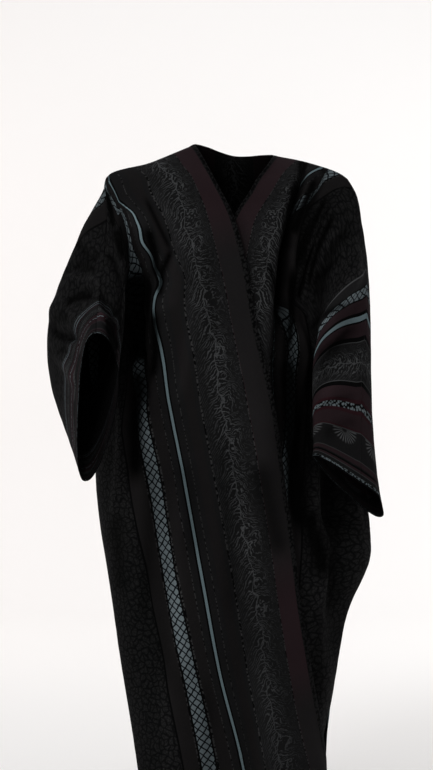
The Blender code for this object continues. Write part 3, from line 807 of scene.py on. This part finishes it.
def distance_to(points, seam):
    """Distance of each point from the nearest seam point, worked out in blocks."""
    blocks = [points[i : i + BLOCK] for i in range(0, len(points), BLOCK)]
    return np.concatenate([np.linalg.norm(b[:, None] - seam[None], axis=2).min(axis=1) for b in blocks])


print(len(FOLDS), "large folds,", len(CREASES), "creases and", len(SHADED_HOLLOWS), "shaded_hollows")

# %% [markdown]
# The lower front lies a centimetre under the upper one where they cross. At the seams, neighbouring panels
# share their normals, so the two edges stay side by side, and the seam sinks a little, as stitching pulls it.

# %% Drape the three panels
# Painted shade and highlight: how strongly the lift of creases, tucks and folds darkens or lightens the colour,
# its limits, and how far the hollows darken it
SHADE_OF_LIFT = 75
SHADE_OF_FOLDS = 0.3
SHADE_RANGE = (0.30, 1.5)
DARKEN = 1.4
DARKEST = 0.97
LAYER_GAP = 0.010
LAYER_RAMP = 0.035
SEAM_SINK = 0.0010
SEAM_GAP = 0.0003


def lay_under(points, normals):
    """The lower front's points, sunk under the upper front from a little outside its edge."""
    outside = points[:, 0] - read_table(RIGHT_EDGE, "x", points[:, 2])
    sunk = smoothstep(1 - outside / LAYER_RAMP) * (normals[:, 1] < 0)
    return points - normals * (LAYER_GAP * sunk)[:, None]


def tuck_lift(name, points, normals):
    """Troughs along the tucks of a front."""
    lift = np.zeros(len(points))
    side = -1 if name == "front_right" else 1
    for width, tuck in TUCKS.get(name, ()):
        share = read_straight(tuck, "hidden", points[:, 2]) / TUCK_FULL
        away = (side * points[:, 0] - read_straight(tuck, "x", points[:, 2])) / TUCK_CREASE
        lift -= TUCK_DEPTH * share * np.exp(-(away**2)) * smoothstep(-normals[:, 1] * FACING_STEEPNESS)
    return lift


def seam_points(name, top, bottom, first):
    """Numbers of a panel's points that lie on a seam."""
    last = first + bottom.shape[1] - 1
    neckline = []
    if name == "back":
        neck = (SLEEVE_COLUMNS + FRONT_COLUMNS) * FINER
        neckline = np.arange(neck + 1, neck + NECK_COLUMNS * FINER)
    seam = [np.delete(top[0], neckline)]
    if first > 0:
        seam += [top[-1, : first + 1], bottom[:, 0]]
    if last < top.shape[1] - 1:
        seam += [top[-1, last:], bottom[:, -1]]
    return np.unique(np.concatenate(seam))


panels = {}
for name, (upper, lower, first) in fine.items():
    faces, top, bottom = net_faces(upper.shape[:2], lower.shape[:2], first)
    points = net_points(upper, lower)
    if name == "back":
        faces = faces[:, ::-1]
    seam = seam_points(name, top, bottom, first)
    column = np.arange(upper.shape[1])
    outside = np.maximum(first - column, column - (first + lower.shape[1] - 1)) / FINER
    sleeve = np.zeros(len(points))
    sleeve[top] = smoothstep((outside + ARMHOLE_STEPS) / (2 * ARMHOLE_STEPS))
    normals = sheet_normals(points, faces)
    away = distance_to(points, points[seam[:: FINER // 2]])
    folds, creases, shaded_hollows = (
        np.array([line_lift(fold, points, normals, sleeve) for fold in own(rows, name)])
        for rows in (FOLDS, CREASES, SHADED_HOLLOWS)
    )
    folds = folds.sum(axis=0) * smoothstep(away / SEAM_STILL)
    creases = creases.sum(axis=0) * np.where(normals[:, 1] < 0, FRONT_BOOST, 1.0)
    tucks = tuck_lift(name, points, normals) * (1 - sleeve)
    ripples = creases + tucks + shaded_hollows.min(axis=0)
    lift = folds + (ripples + unevenness(points)) * smoothstep(away / CREASE_STILL)
    # How dark the painted shade of the hollows is at each point, from their depth
    width = np.array([fold["width"] for fold in own(SHADED_HOLLOWS, name)])
    dark = (-shaded_hollows / (HOLLOW_DEPTH * width[:, None])).max(axis=0)
    # Painted shade in the troughs and painted highlight on the ridges, then painted shade in the hollows, as
    # one factor on the colour at each point
    shade = np.clip(1 + SHADE_OF_LIFT * (creases + tucks + SHADE_OF_FOLDS * folds), *SHADE_RANGE)
    tone_and_painted_light = shade * (1 - np.clip(dark * DARKEN, 0, DARKEST))
    points = points + normals * lift[:, None]
    if name == "front_left":
        points = lay_under(points, normals)
    panels[name] = {
        "points": points, "normals": sheet_normals(points, faces), "faces": faces, "seam": seam,
        "layout": net_points(*layout[name]), "tone_and_painted_light": tone_and_painted_light,
    }
    print(name, "folds lift the cloth by", round(lift.min() * 1000, 1), "to", round(lift.max() * 1000, 1), "mm")

# %% Share the normals along the seams
SAME_PLACE = 1e-5
places = np.concatenate([p["points"][p["seam"]] for p in panels.values()])
facing = np.concatenate([p["normals"][p["seam"]] for p in panels.values()])
spots = np.round(places / SAME_PLACE).astype(int)
_, meeting = np.unique(spots, axis=0, return_inverse=True)
meeting = meeting.ravel()
total = np.zeros((meeting.max() + 1, 3))
np.add.at(total, meeting, facing)
shared = total[meeting] / np.linalg.norm(total[meeting], axis=1, keepdims=True)
start = 0
for panel in panels.values():
    count = len(panel["seam"])
    panel["normals"][panel["seam"]] = shared[start : start + count]
    start += count
met = np.bincount(meeting)[meeting] > 1
print("seam points that meet another panel:", met.sum(), "of", len(met))

# %% [markdown]
# The cloth itself is a little over a millimetre thick here. Each panel becomes a closed shell: an inner face,
# an outer face and a rim between them, within the solid's 2 mm wall apart from the creases and the turned
# hems. The UV map is laid on at the same time.

# %% Thin shells
CLOTH_INNER = 0.0004
CLOTH_OUTER = 0.0016
HEM_WIDTH = 0.010
HEM_RISE = 0.0006
HEM_SLOPE = 0.004


def drawn_back(points, faces, seam):
    """The seam points pulled back from the seam by half its gap, towards the panel's own inside."""
    on_seam = np.zeros(len(points), dtype=bool)
    on_seam[seam] = True
    pull = np.zeros_like(points)
    for i in range(4):
        here, there = faces[:, i], faces[:, (i + 1) % 4]
        for a, b in ((here, there), (there, here)):
            inward = on_seam[a] & ~on_seam[b]
            np.add.at(pull, a[inward], points[b[inward]] - points[a[inward]])
    length = np.linalg.norm(pull, axis=1, keepdims=True)
    return points + pull / np.maximum(length, LEAST_LENGTH) * (length > 0) * SEAM_GAP / 2


def mesh_object(name, points, faces, uv=None, values=None):
    """A smooth mesh from arrays, with UVs spread from points to corners, and named values for its points."""
    mesh = bpy.data.meshes.new(name)
    mesh.from_pydata(points.tolist(), [], faces.tolist())
    mesh.update()
    if uv is not None:
        corners = np.zeros(len(mesh.loops), dtype=np.int32)
        mesh.loops.foreach_get("vertex_index", corners)
        layer = mesh.uv_layers.new(name="cloth")
        layer.uv.foreach_set("vector", uv[corners].astype(np.float32).ravel())
    for title, value in (values or {}).items():
        mesh.attributes.new(title, "FLOAT", "POINT").data.foreach_set("value", value.astype(np.float32))
    mesh.shade_smooth()
    return in_scene(name, mesh)


cloth = {}
for name, panel in panels.items():
    points, normals, faces = panel["points"], panel["normals"], panel["faces"]
    points = drawn_back(points, faces, panel["seam"])
    sink = np.zeros(len(points))
    sink[panel["seam"]] = SEAM_SINK
    sides = np.concatenate([faces[:, [i, (i + 1) % 4]] for i in range(4)])
    where, uses = np.unique(np.sort(sides, axis=1), axis=0, return_inverse=True, return_counts=True)[1:]
    a, b = sides[uses[where.ravel()] == 1].T
    edge = distance_to(points, points[np.setdiff1d(a, panel["seam"])])
    turned = HEM_RISE * smoothstep((HEM_WIDTH - edge) / HEM_SLOPE + 0.5)
    inner = points + normals * (CLOTH_INNER - sink)[:, None]
    outer = points + normals * (CLOTH_OUTER + turned - sink)[:, None]
    count = len(points)
    rim = np.column_stack([a, b, b + count, a + count])
    quads = np.concatenate([faces[:, ::-1], faces + count, rim])
    uv, tone_and_painted_light, edge = (np.concatenate([value, value]) for value in (panel["layout"], panel["tone_and_painted_light"], edge))
    points, values = np.concatenate([inner, outer]), {"tone_and_painted_light": tone_and_painted_light, "edge": edge}
    cloth[name] = mesh_object("cloth_" + name, points, quads, uv, values)
    mesh = cloth[name].data
    mesh.materials.append(None)
    mesh.materials.append(None)
    mesh.polygons.foreach_set("material_index", (np.arange(len(quads)) < len(faces)).astype(np.int32))
    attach(cloth[name], "root")
    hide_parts(name)
    print(cloth[name].name, 2 * len(quads), "triangles")

# %% [markdown]
# The cloth is a black jacquard with stripes of plum, charcoal and blue-grey, a net of diamonds, bands of
# branching twigs, and tone-on-tone flowers. All of it is woven from the two lengths in the UV map, so every
# stripe keeps its width over the folds. Small helpers put the nodes together, and plain signs between
# values stand for math nodes.

# %% Helpers for materials
FLOAT, COLOUR = "NodeSocketFloat", "NodeSocketColor"
BLACK = (0.0, 0.0, 0.0, 1.0)


class Value:
    """A number, vector or colour inside a node tree."""

    def __init__(self, socket):
        self.socket, self.tree = socket, socket.id_data

    def __add__(self, other):
        return calc("ADD", self, other)

    def __radd__(self, other):
        return calc("ADD", other, self)

    def __sub__(self, other):
        return calc("SUBTRACT", self, other)

    def __rsub__(self, other):
        return calc("SUBTRACT", other, self)

    def __mul__(self, other):
        return calc("MULTIPLY", self, other)

    def __truediv__(self, other):
        return calc("DIVIDE", self, other)

    def __lt__(self, other):
        return calc("LESS_THAN", self, other)

    def __gt__(self, other):
        return calc("GREATER_THAN", self, other)

    def __abs__(self):
        return calc("ABSOLUTE", self)


def feed(socket, value):
    """Link a value to an input, or set the input to a plain number or colour."""
    if isinstance(value, Value):
        value.tree.links.new(value.socket, socket)
    else:
        socket.default_value = value


def node(tree, kind, inputs=None, **settings):
    """A node in the tree with its settings, and its inputs fed."""
    made = tree.nodes.new(kind)
    for name, value in settings.items():
        setattr(made, name, value)
    for name, value in (inputs or {}).items():
        feed(made.inputs[name], value)
    return made


def result(tree, kind, inputs=None, output=0, **settings):
    """What a new node gives at one of its outputs."""
    return Value(node(tree, kind, inputs, **settings).outputs[output])


def calc(operation, *values):
    """The result of one sum on values and plain numbers."""
    tree = next(value.tree for value in values if isinstance(value, Value))
    return result(tree, "ShaderNodeMath", dict(enumerate(values)), operation=operation)


def vector(operation, one, two):
    """The result of one sum on vectors. To scale takes a number."""
    place = "Scale" if operation == "SCALE" else 1
    return result(one.tree, "ShaderNodeVectorMath", {0: one, place: two}, operation=operation)


def step_up(value, low, high):
    """A mask that rises from 0 at low to 1 at high."""
    inputs = {0: value, 1: low, 2: high}
    return result(value.tree, "ShaderNodeMapRange", inputs, interpolation_type="SMOOTHSTEP")


def step_down(value, low, high):
    """A mask that falls from 1 at low to 0 at high."""
    return 1.0 - step_up(value, low, high)


def blend(share, one, other):
    """A colour between two others."""
    return result(share.tree, "ShaderNodeMix", {0: share, 6: one, 7: other}, output=2, data_type="RGBA")


def on_cloth(across, along):
    """A place on the cloth as one vector, for textures."""
    return result(across.tree, "ShaderNodeCombineXYZ", {"X": across, "Y": along})


def noise(spot, scale, detail=1.0, output=0):
    """Smooth noise, about one half: a number, or with output 1 a colour."""
    inputs = {"Vector": spot, "Scale": scale, "Detail": detail}
    return result(spot.tree, "ShaderNodeTexNoise", inputs, output, noise_dimensions="2D")


def cells(spot, scale, feature="F1"):
    """Distance in a pattern of cells, from the nearest middle or from the nearest edge."""
    inputs = {"Vector": spot, "Scale": scale}
    return result(spot.tree, "ShaderNodeTexVoronoi", inputs, voronoi_dimensions="2D", feature=feature)


def group(name, inputs, outputs):
    """An empty group of nodes with its sockets: the tree, its inputs as values, and its outputs."""
    tree = bpy.data.node_groups.new(name, "ShaderNodeTree")
    for title, value in inputs.items():
        kind = COLOUR if isinstance(value, tuple) else FLOAT
        tree.interface.new_socket(title, in_out="INPUT", socket_type=kind).default_value = value
    for title, kind in outputs.items():
        tree.interface.new_socket(title, in_out="OUTPUT", socket_type=kind)
    given = tree.nodes.new("NodeGroupInput").outputs
    return tree, {title: Value(given[title]) for title in inputs}, tree.nodes.new("NodeGroupOutput").inputs


def motif(name):
    """A group with two lengths as inputs and a mask as output."""
    _, given, out = group(name, {"Across": 0.0, "Along": 0.0}, {"Mask": FLOAT})
    return given["Across"], given["Along"], out["Mask"]


def placed(tree, name, **inputs):
    """The outputs of a group set into a tree, by name."""
    made = node(tree, "ShaderNodeGroup", inputs, node_tree=bpy.data.node_groups[name])
    return {socket.name: Value(socket) for socket in made.outputs}


print("helpers are ready")

# %% [markdown]
# Each motif is its own group with two inputs, the distance across its band and the length along it, and one
# mask. The twigs are a wandering stem with fine strokes that leave it on both sides, and they are denser
# near the stem. All of it bends with a little noise, so that no two repeats look the same.

# %% Motif: a branching stem
LIMBS_APART = 0.023
TWIGS_APART = 0.0070
DROOP = 14.0
across, down, mask = motif("twig_motif")
spot = on_cloth(across, down)
slow = noise(spot, 24.0) - 0.5
quick = noise(spot, 95.0, 2.0) - 0.5
swayed = across + slow * 0.026 + quick * 0.006
off = abs(swayed)
bent = down + slow * 0.050 + quick * 0.012
near_stem = step_down(off, 0.006, 0.036)


def strokes(slope, shift, apart, thin, thick):
    """Lines that leave the stem at a slope, some way apart, shifted on one side: 1 on a line, 0 off it."""
    place = bent - off * slope - calc("POWER", off, 2.0) * DROOP + (swayed > 0.0) * shift
    return step_down(calc("PINGPONG", place, apart / 2), thin, thick)


stem = step_down(off, 0.0003, 0.0013) * 0.70
limbs = strokes(0.75, 0.011, LIMBS_APART, 0.0004, 0.0014) * (near_stem * 0.8)
twigs = strokes(0.25, 0.003, TWIGS_APART, 0.0003, 0.0013) * step_up(noise(spot, 130.0), 0.36, 0.52)
twigs = twigs * (near_stem * 0.50 + 0.22)
feed(mask, calc("MAXIMUM", stem, calc("MAXIMUM", twigs, limbs)))
print(f"limbs leave the stem every {LIMBS_APART * 1000:.0f} mm, twigs every {TWIGS_APART * 1000:.0f} mm")

# %% Motifs: the net, the speckled leaves, the flowers and the fans
NET_HALF = 0.0080
FANS_APART = 0.090

across, down, mask = motif("net_motif")
bent = across + (noise(on_cloth(across, down), 60.0) - 0.5) * 0.006
rise = down * 0.90
threads = [calc("PINGPONG", slant, NET_HALF) for slant in (bent + rise, bent - rise)]
feed(mask, step_down(calc("MINIMUM", *threads), 0.0012, 0.0025))

across, down, mask = motif("leaf_speckle")
feed(mask, step_down(cells(on_cloth(across, down), 170.0), 0.30, 0.52))

across, down, mask = motif("flower_ground")
spot = on_cloth(across, down)
warp = vector("SUBTRACT", noise(spot, 55.0, output=1), (0.5, 0.5, 0.5))
spot = vector("ADD", spot, vector("SCALE", warp, 0.012))
heads, petals = (cells(spot, scale, "DISTANCE_TO_EDGE") for scale in (78.0, 175.0))
feed(mask, step_up(heads, 0.0, 0.24) * (step_up(petals, 0.02, 0.22) * 0.70 + 0.30))

across, down, mask = motif("fan_motif")
repeat = calc("WRAP", down, FANS_APART, 0.0) - FANS_APART / 2
reach = calc("SQRT", calc("POWER", repeat, 2.0) + calc("POWER", across, 2.0))
rays = step_down(calc("PINGPONG", calc("ARCTAN2", repeat, across), 0.13), 0.03, 0.08)
feed(mask, rays * (step_up(reach, 0.004, 0.008) * step_down(reach, 0.026, 0.034)))
print("five motifs")

# %% [markdown]
# Which stripe lies where is one list, from the front edge to the cuff: its start in centimetres, its yarn
# and, unless it is plain, its motif. Two colour ramps turn it into yarn colours, and two more into a code
# for the motif that each band carries, because a ramp holds 32 stops at most.

# %% The order of the stripes
YARN = {
    "black": (0.0012, 0.0012, 0.0013),
    "charcoal": (0.0062, 0.0062, 0.0065),
    "dusk": (0.0068, 0.0063, 0.0065),
    "slate": (0.0082, 0.0082, 0.0084),
    # dim, the yarn of the speckled lines, is its own colour lightened in part as painted highlight of the folds
    # they run along
    "dim": (0.0220, 0.0220, 0.0225),
    "plum": (0.0140, 0.0086, 0.0100),
    "maroon": (0.0150, 0.0054, 0.0070),
    "blue": (0.0850, 0.1160, 0.1270),
    "grey": (0.0300, 0.0310, 0.0320),
    "light": (0.0800, 0.0970, 0.1050),
}
MOTIF = {
    "plain": (0, 0, 0), "twig": (1, 0, 0), "net": (0, 1, 0),
    "flower": (0, 0, 1), "leaf": (1, 1, 0), "fan": (1, 0, 1),
}
BANDS = (
    (0.0, "charcoal", "leaf"), (0.8, "plum"), (4.5, "dim", "leaf"), (4.75, "charcoal"),
    (5.0, "charcoal", "twig"), (13.0, "dim", "leaf"), (13.3, "charcoal"), (14.2, "dusk"), (16.5, "charcoal"),
    (17.6, "dim", "leaf"), (17.75, "charcoal"), (19.2, "black"), (19.45, "blue"), (20.05, "black"),
    (20.4, "charcoal"), (21.6, "dim", "leaf"), (21.75, "dusk"), (24.2, "dim", "leaf"), (24.45, "black"),
    (24.9, "light", "net"), (27.5, "black"), (27.9, "dim", "leaf"), (28.15, "dusk"), (31.2, "black"),
    (31.6, "slate", "flower"), (46.0, "grey"), (46.2, "charcoal"), (49.1, "black"), (49.5, "light", "net"),
    (51.7, "black"), (52.0, "plum"), (54.5, "black"), (55.3, "blue"), (56.3, "black"), (56.7, "plum"),
    (59.6, "black"), (60.4, "grey"), (60.6, "charcoal", "twig"), (68.3, "grey"), (68.5, "black"),
    (69.4, "plum"), (72.0, "maroon"), (72.7, "light", "leaf"), (74.0, "maroon"), (74.6, "plum"),
    (77.5, "maroon"), (77.9, "grey"), (78.1, "charcoal", "fan"), (84.6, "grey"), (84.8, "plum"),
    (85.9, "charcoal"), (86.3, "black"), (86.8, "plum"), (87.6, "grey"), (87.8, "charcoal"),
    (88.9, "light", "leaf"), (89.5, "black"),
)
HALVES = ((0.0, 46.0), (46.0, 92.0))


def ramp(place, colours, low, high):
    """A colour ramp with hard steps: each band's colour from its start, over one stretch of the cloth."""
    spread = result(place.tree, "ShaderNodeMapRange", {0: place, 1: low / 100, 2: high / 100})
    made = node(place.tree, "ShaderNodeValToRGB", {"Fac": spread})
    stops = made.color_ramp
    stops.interpolation = "CONSTANT"
    part = [(start, colour) for start, colour in colours if low <= start < high]
    while len(stops.elements) < len(part):
        stops.elements.new(0.5)
    for element, (start, colour) in zip(stops.elements, part):
        element.position = (start - low) / (high - low)
        element.color = (*colour, 1.0)
    return Value(made.outputs[0])


tree, inp, out = group("stripes", {"Place": 0.0}, {"Colour": COLOUR, "Motif": COLOUR})
yarns = [(start, YARN[yarn]) for start, yarn, *_ in BANDS]
kinds = [(start, MOTIF[kind[0] if kind else "plain"]) for start, _, *kind in BANDS]
second = inp["Place"] > HALVES[1][0] / 100
for title, colours in (("Colour", yarns), ("Motif", kinds)):
    feed(out[title], blend(second, *(ramp(inp["Place"], colours, *half) for half in HALVES)))
print(len(BANDS), "bands from the edge to the cuff")

# %% [markdown]
# The weave is a fine twill: threads about two millimetres apart, crossed at a slant. It only shows close up,
# as relief. The cloth group then joins stripes, motifs and weave, and gives colour, roughness and height.
# The open edges are turned in by a centimetre and stitched.

# %% The woven cloth as one group
PITCH = 0.0011
SLANT = 0.5
WEFT_SHARE = 0.7
TWIG_STEMS = (0.090, 0.650)
NET_MIDDLES = (0.2620, 0.5060)
OUTER_HALF = 0.46
FAN_FOOT = 0.783
FRONT_STRIPE = 0.046
TWIG_SHIFT = 0.37
FLOWER_DARK = (0.0020, 0.0020, 0.0022)
TWIG_THREAD = (0.050, 0.052, 0.054)
NET_THREAD = (0.0025, 0.0030, 0.0040)

tree, inp, out = group("twill_weave", {"Across": 0.0, "Along": 0.0}, {"Height": FLOAT})
warp = calc("PINGPONG", inp["Across"] + inp["Along"] * SLANT, PITCH)
weft = calc("PINGPONG", inp["Along"], PITCH * WEFT_SHARE)
feed(out["Height"], (warp + weft * WEFT_SHARE) / PITCH)

# Light scales the colour: painted shade and highlight from the folds, times each panel's share
tree, inp, out = group(
    "striped_jacquard",
    {"Side": 0.0, "Along": 0.0, "Light": 1.0},
    {"Colour": COLOUR, "Roughness": FLOAT, "Height": FLOAT},
)
side, down = inp["Side"], inp["Along"]
place = abs(abs(side) - NECK_HALF)
outer_half = place > OUTER_HALF
stripes = placed(tree, "stripes", Place=place)
kinds = node(tree, "ShaderNodeSeparateColor", {"Color": stripes["Motif"]}).outputs
red, green, blue = (Value(socket) for socket in kinds)
leaf_on = red * green
fan_on = red * blue
twig_on = red - leaf_on - fan_on
net_on = green - leaf_on
flower_on = blue - fan_on


def from_middle(middles):
    """Distance from the middle of the band on this half of the cloth."""
    return place - (outer_half * (middles[1] - middles[0]) + middles[0])


# The stem in the middle of the back isn't mirrored, and the two fronts' stems differ
turned = 1.0 - (side > 0.0) * (abs(side) < NECK_HALF) * 2.0
off_stem = from_middle(TWIG_STEMS) * turned
along_stem = down + (side > NECK_HALF) * TWIG_SHIFT
worn = 1.0 - step_up(down, 0.75, 1.10) * 0.35
twig = twig_on * (placed(tree, "twig_motif", Across=off_stem, Along=along_stem)["Mask"] * worn)
net = placed(tree, "net_motif", Across=from_middle(NET_MIDDLES), Along=down)["Mask"]
leaf = placed(tree, "leaf_speckle", Across=side, Along=down)["Mask"]
flower = placed(tree, "flower_ground", Across=side, Along=down)["Mask"]
fan = placed(tree, "fan_motif", Across=place - FAN_FOOT, Along=down)["Mask"]

# The front's plum stripe turns grey, apart from its top and a stretch near the knee
plum_stretch = step_up(down, 0.85, 0.98) - step_up(down, 1.10, 1.22)
greyed = step_up(down, 0.16, 0.30) * (1.0 - plum_stretch) * (place < FRONT_STRIPE)
colour = stripes["Colour"]
for share, thread in (
    (greyed * 0.9, YARN["slate"]),
    (flower_on * (1.0 - flower), FLOWER_DARK),
    (twig, TWIG_THREAD),
    (fan_on * fan, TWIG_THREAD),
    (leaf_on * (1.0 - leaf), YARN["black"]),
    (net_on * net, NET_THREAD),
):
    colour = blend(share, colour, (*thread, 1.0))
spot = on_cloth(side, down)
clouds, slub = noise(spot, 9.0, 3.0), noise(spot, 420.0)
# Cloudy and slubbed yarn tone, times Light, which carries the painted shade and highlight of the folds
tone_and_painted_light = (clouds * 0.30 + slub * 0.36 + 0.67) * inp["Light"]
raised = twig + flower_on * flower
weave = placed(tree, "twill_weave", Across=side, Along=down)["Height"]
feed(out["Colour"], vector("SCALE", colour, tone_and_painted_light))
feed(out["Roughness"], 0.80 - raised * 0.16 + slub * 0.10)
feed(out["Height"], raised * 0.5 + weave * 0.35)
print("the cloth group has", len(tree.nodes), "nodes")

# %% Stitched hems as one group
STITCH_APART = 0.0040
STITCH_INSET = 0.0020
FOLD_HALF = 0.0006
tree, inp, out = group(
    "stitched_hem", {"Edge": 1.0, "Along": 0.0, "Colour": BLACK}, {"Colour": COLOUR, "Height": FLOAT}
)
fold = step_down(inp["Edge"], HEM_WIDTH - FOLD_HALF, HEM_WIDTH + FOLD_HALF)
row = step_down(abs(inp["Edge"] - (HEM_WIDTH - STITCH_INSET)), 0.0002, 0.0005)
stitch = row * step_up(calc("PINGPONG", inp["Along"], STITCH_APART / 2), 0.0005, 0.0008)
feed(out["Colour"], blend(stitch * 0.8, inp["Colour"], (*YARN["slate"], 1.0)))
feed(out["Height"], fold * 0.8 - stitch * 0.6)
print("stitches 4 mm apart,", round((HEM_WIDTH - STITCH_INSET) * 1000), "mm from each open edge")

# %% Put the cloth on the panels
# Each panel's colour is scaled: the back a little darker, and the inner faces far darker, as painted shade
# inside the robe
PANEL_LIGHT = {"front_right": 1.0, "front_left": 1.0, "back": 0.95}
REVERSE_LIGHT = 0.22
CONSTANTS = {
    "Specular IOR Level": 0.02,
    "Sheen Weight": 0.006,
    "Sheen Roughness": 0.40,
    "Sheen Tint": (0.85, 0.86, 0.90, 1.0),
}


def cloth_material(name, light):
    """A material of the woven cloth, with its relief and a soft sheen of fine fibres."""
    material = bpy.data.materials.new(name)
    material.use_nodes = True
    tree = material.node_tree
    uv = result(tree, "ShaderNodeUVMap", uv_map="cloth")
    side, down, _ = (Value(socket) for socket in node(tree, "ShaderNodeSeparateXYZ", {0: uv}).outputs)
    # The painted shade and highlight of the folds, kept at the points, and each point's distance from an open
    # edge
    tone_and_painted_light, edge = (
        result(tree, "ShaderNodeAttribute", output="Fac", attribute_name=title) for title in ("tone_and_painted_light", "edge")
    )
    made = placed(tree, "striped_jacquard", Side=side, Along=down, Light=tone_and_painted_light * light)
    hem = placed(tree, "stitched_hem", Edge=edge, Along=side + down, Colour=made["Colour"])
    height = made["Height"] + hem["Height"]
    relief = result(tree, "ShaderNodeBump", {"Strength": 0.35, "Distance": 0.0006, "Height": height})
    worked = {"Base Color": hem["Colour"], "Roughness": made["Roughness"], "Normal": relief}
    for title, value in {**worked, **CONSTANTS}.items():
        feed(tree.nodes["Principled BSDF"].inputs[title], value)
    return material


reverse = cloth_material("woven_reverse", REVERSE_LIGHT)
for name, made in cloth.items():
    made.data.materials[0] = cloth_material("woven_" + name, PANEL_LIGHT[name])
    made.data.materials[1] = reverse
print("three panels dressed")

# %% [markdown]
# Plain pale floor and backdrop in one sweep, and four soft lights: one on the robe from the front left, one
# on the floor from above, and one on each side of the backdrop, of which the left one is warmer. An even,
# pale world fills the shadows.

# %% Floor, backdrop and light
FLOOR_Z = -1.45
FLOOR_FRONT, FLOOR_BACK, TURN, WALL = -5.0, 3.7, 0.8, 3.5
STAGE_HALF, STAGE_POINTS, TURN_POINTS = 5.0, 21, 17
STAGE_ROUGHNESS = 0.9
STAGE_COLOUR = (0.90, 0.89, 0.885, 1.0)
WORLD_COLOUR = (1.0, 0.99, 0.985, 1.0)
WORLD_STRENGTH = 0.66

# Name, place, target, size, power and colour
LIGHTS = (
    ("key", (-1.8, -3.0, 1.9), (0.0, 0.0, -0.5), 0.9, 48, (1.0, 1.0, 1.0)),
    ("floor_light", (0.0, 1.9, 2.6), (0.0, 2.2, -1.4), 2.4, 29, (1.0, 1.0, 1.0)),
    ("backdrop_left", (-2.3, 2.6, 0.3), (-0.5, 4.5, -0.5), 1.6, 11, (1.0, 0.88, 0.83)),
    ("backdrop_right", (2.3, 2.6, 0.3), (0.5, 4.5, -0.5), 1.6, 17, (1.0, 1.0, 1.0)),
)
bpy.context.scene.view_settings.view_transform = "Standard"


def sweep(across, up):
    """Floor and backdrop as one sheet: level, then a quarter turn, then upright."""
    level = FLOOR_FRONT + (FLOOR_BACK - FLOOR_FRONT) * up
    turn = (up - 1) * np.pi / 2
    y = np.where(up < 1, level, np.where(up < 2, FLOOR_BACK + TURN * np.sin(turn), FLOOR_BACK + TURN))
    z = np.where(up < 1, 0.0, np.where(up < 2, TURN * (1 - np.cos(turn)), TURN + WALL * (up - 2)))
    return np.stack([across, y, FLOOR_Z + z], axis=-1)


heights = np.concatenate([[0], np.linspace(1, 2, TURN_POINTS), [3]])
grid = sweep(*np.meshgrid(np.linspace(-STAGE_HALF, STAGE_HALF, STAGE_POINTS), heights))
faces = net_faces(grid.shape[:2], (1, 2), 0)[0]
stage = mesh_object("floor", grid.reshape(-1, 3), faces[:, ::-1])
paint = bpy.data.materials.new("stage")
paint.use_nodes = True
surface = paint.node_tree.nodes["Principled BSDF"].inputs
feed(surface["Base Color"], STAGE_COLOUR)
feed(surface["Roughness"], STAGE_ROUGHNESS)
stage.data.materials.append(paint)


def soft_light(name, place, target, size, power, colour):
    """A square area light at a place, turned to its target."""
    data = bpy.data.lights.new(name, "AREA")
    data.size, data.energy, data.color = size, power, colour
    made = in_scene(name, data)
    made.location = place
    way = np.array(target) - np.array(place)
    flat = np.hypot(way[0], way[1])
    made.rotation_euler = (np.arctan2(flat, -way[2]), 0.0, np.arctan2(way[1], way[0]) - np.pi / 2)


for row in LIGHTS:
    soft_light(*row)
world = bpy.data.worlds.new("studio")
bpy.context.scene.world = world
world.use_nodes = True
sky = world.node_tree.nodes["Background"].inputs
feed(sky["Color"], WORLD_COLOUR)
feed(sky["Strength"], WORLD_STRENGTH)
print("one light on the robe, one on the floor and two on the backdrop")
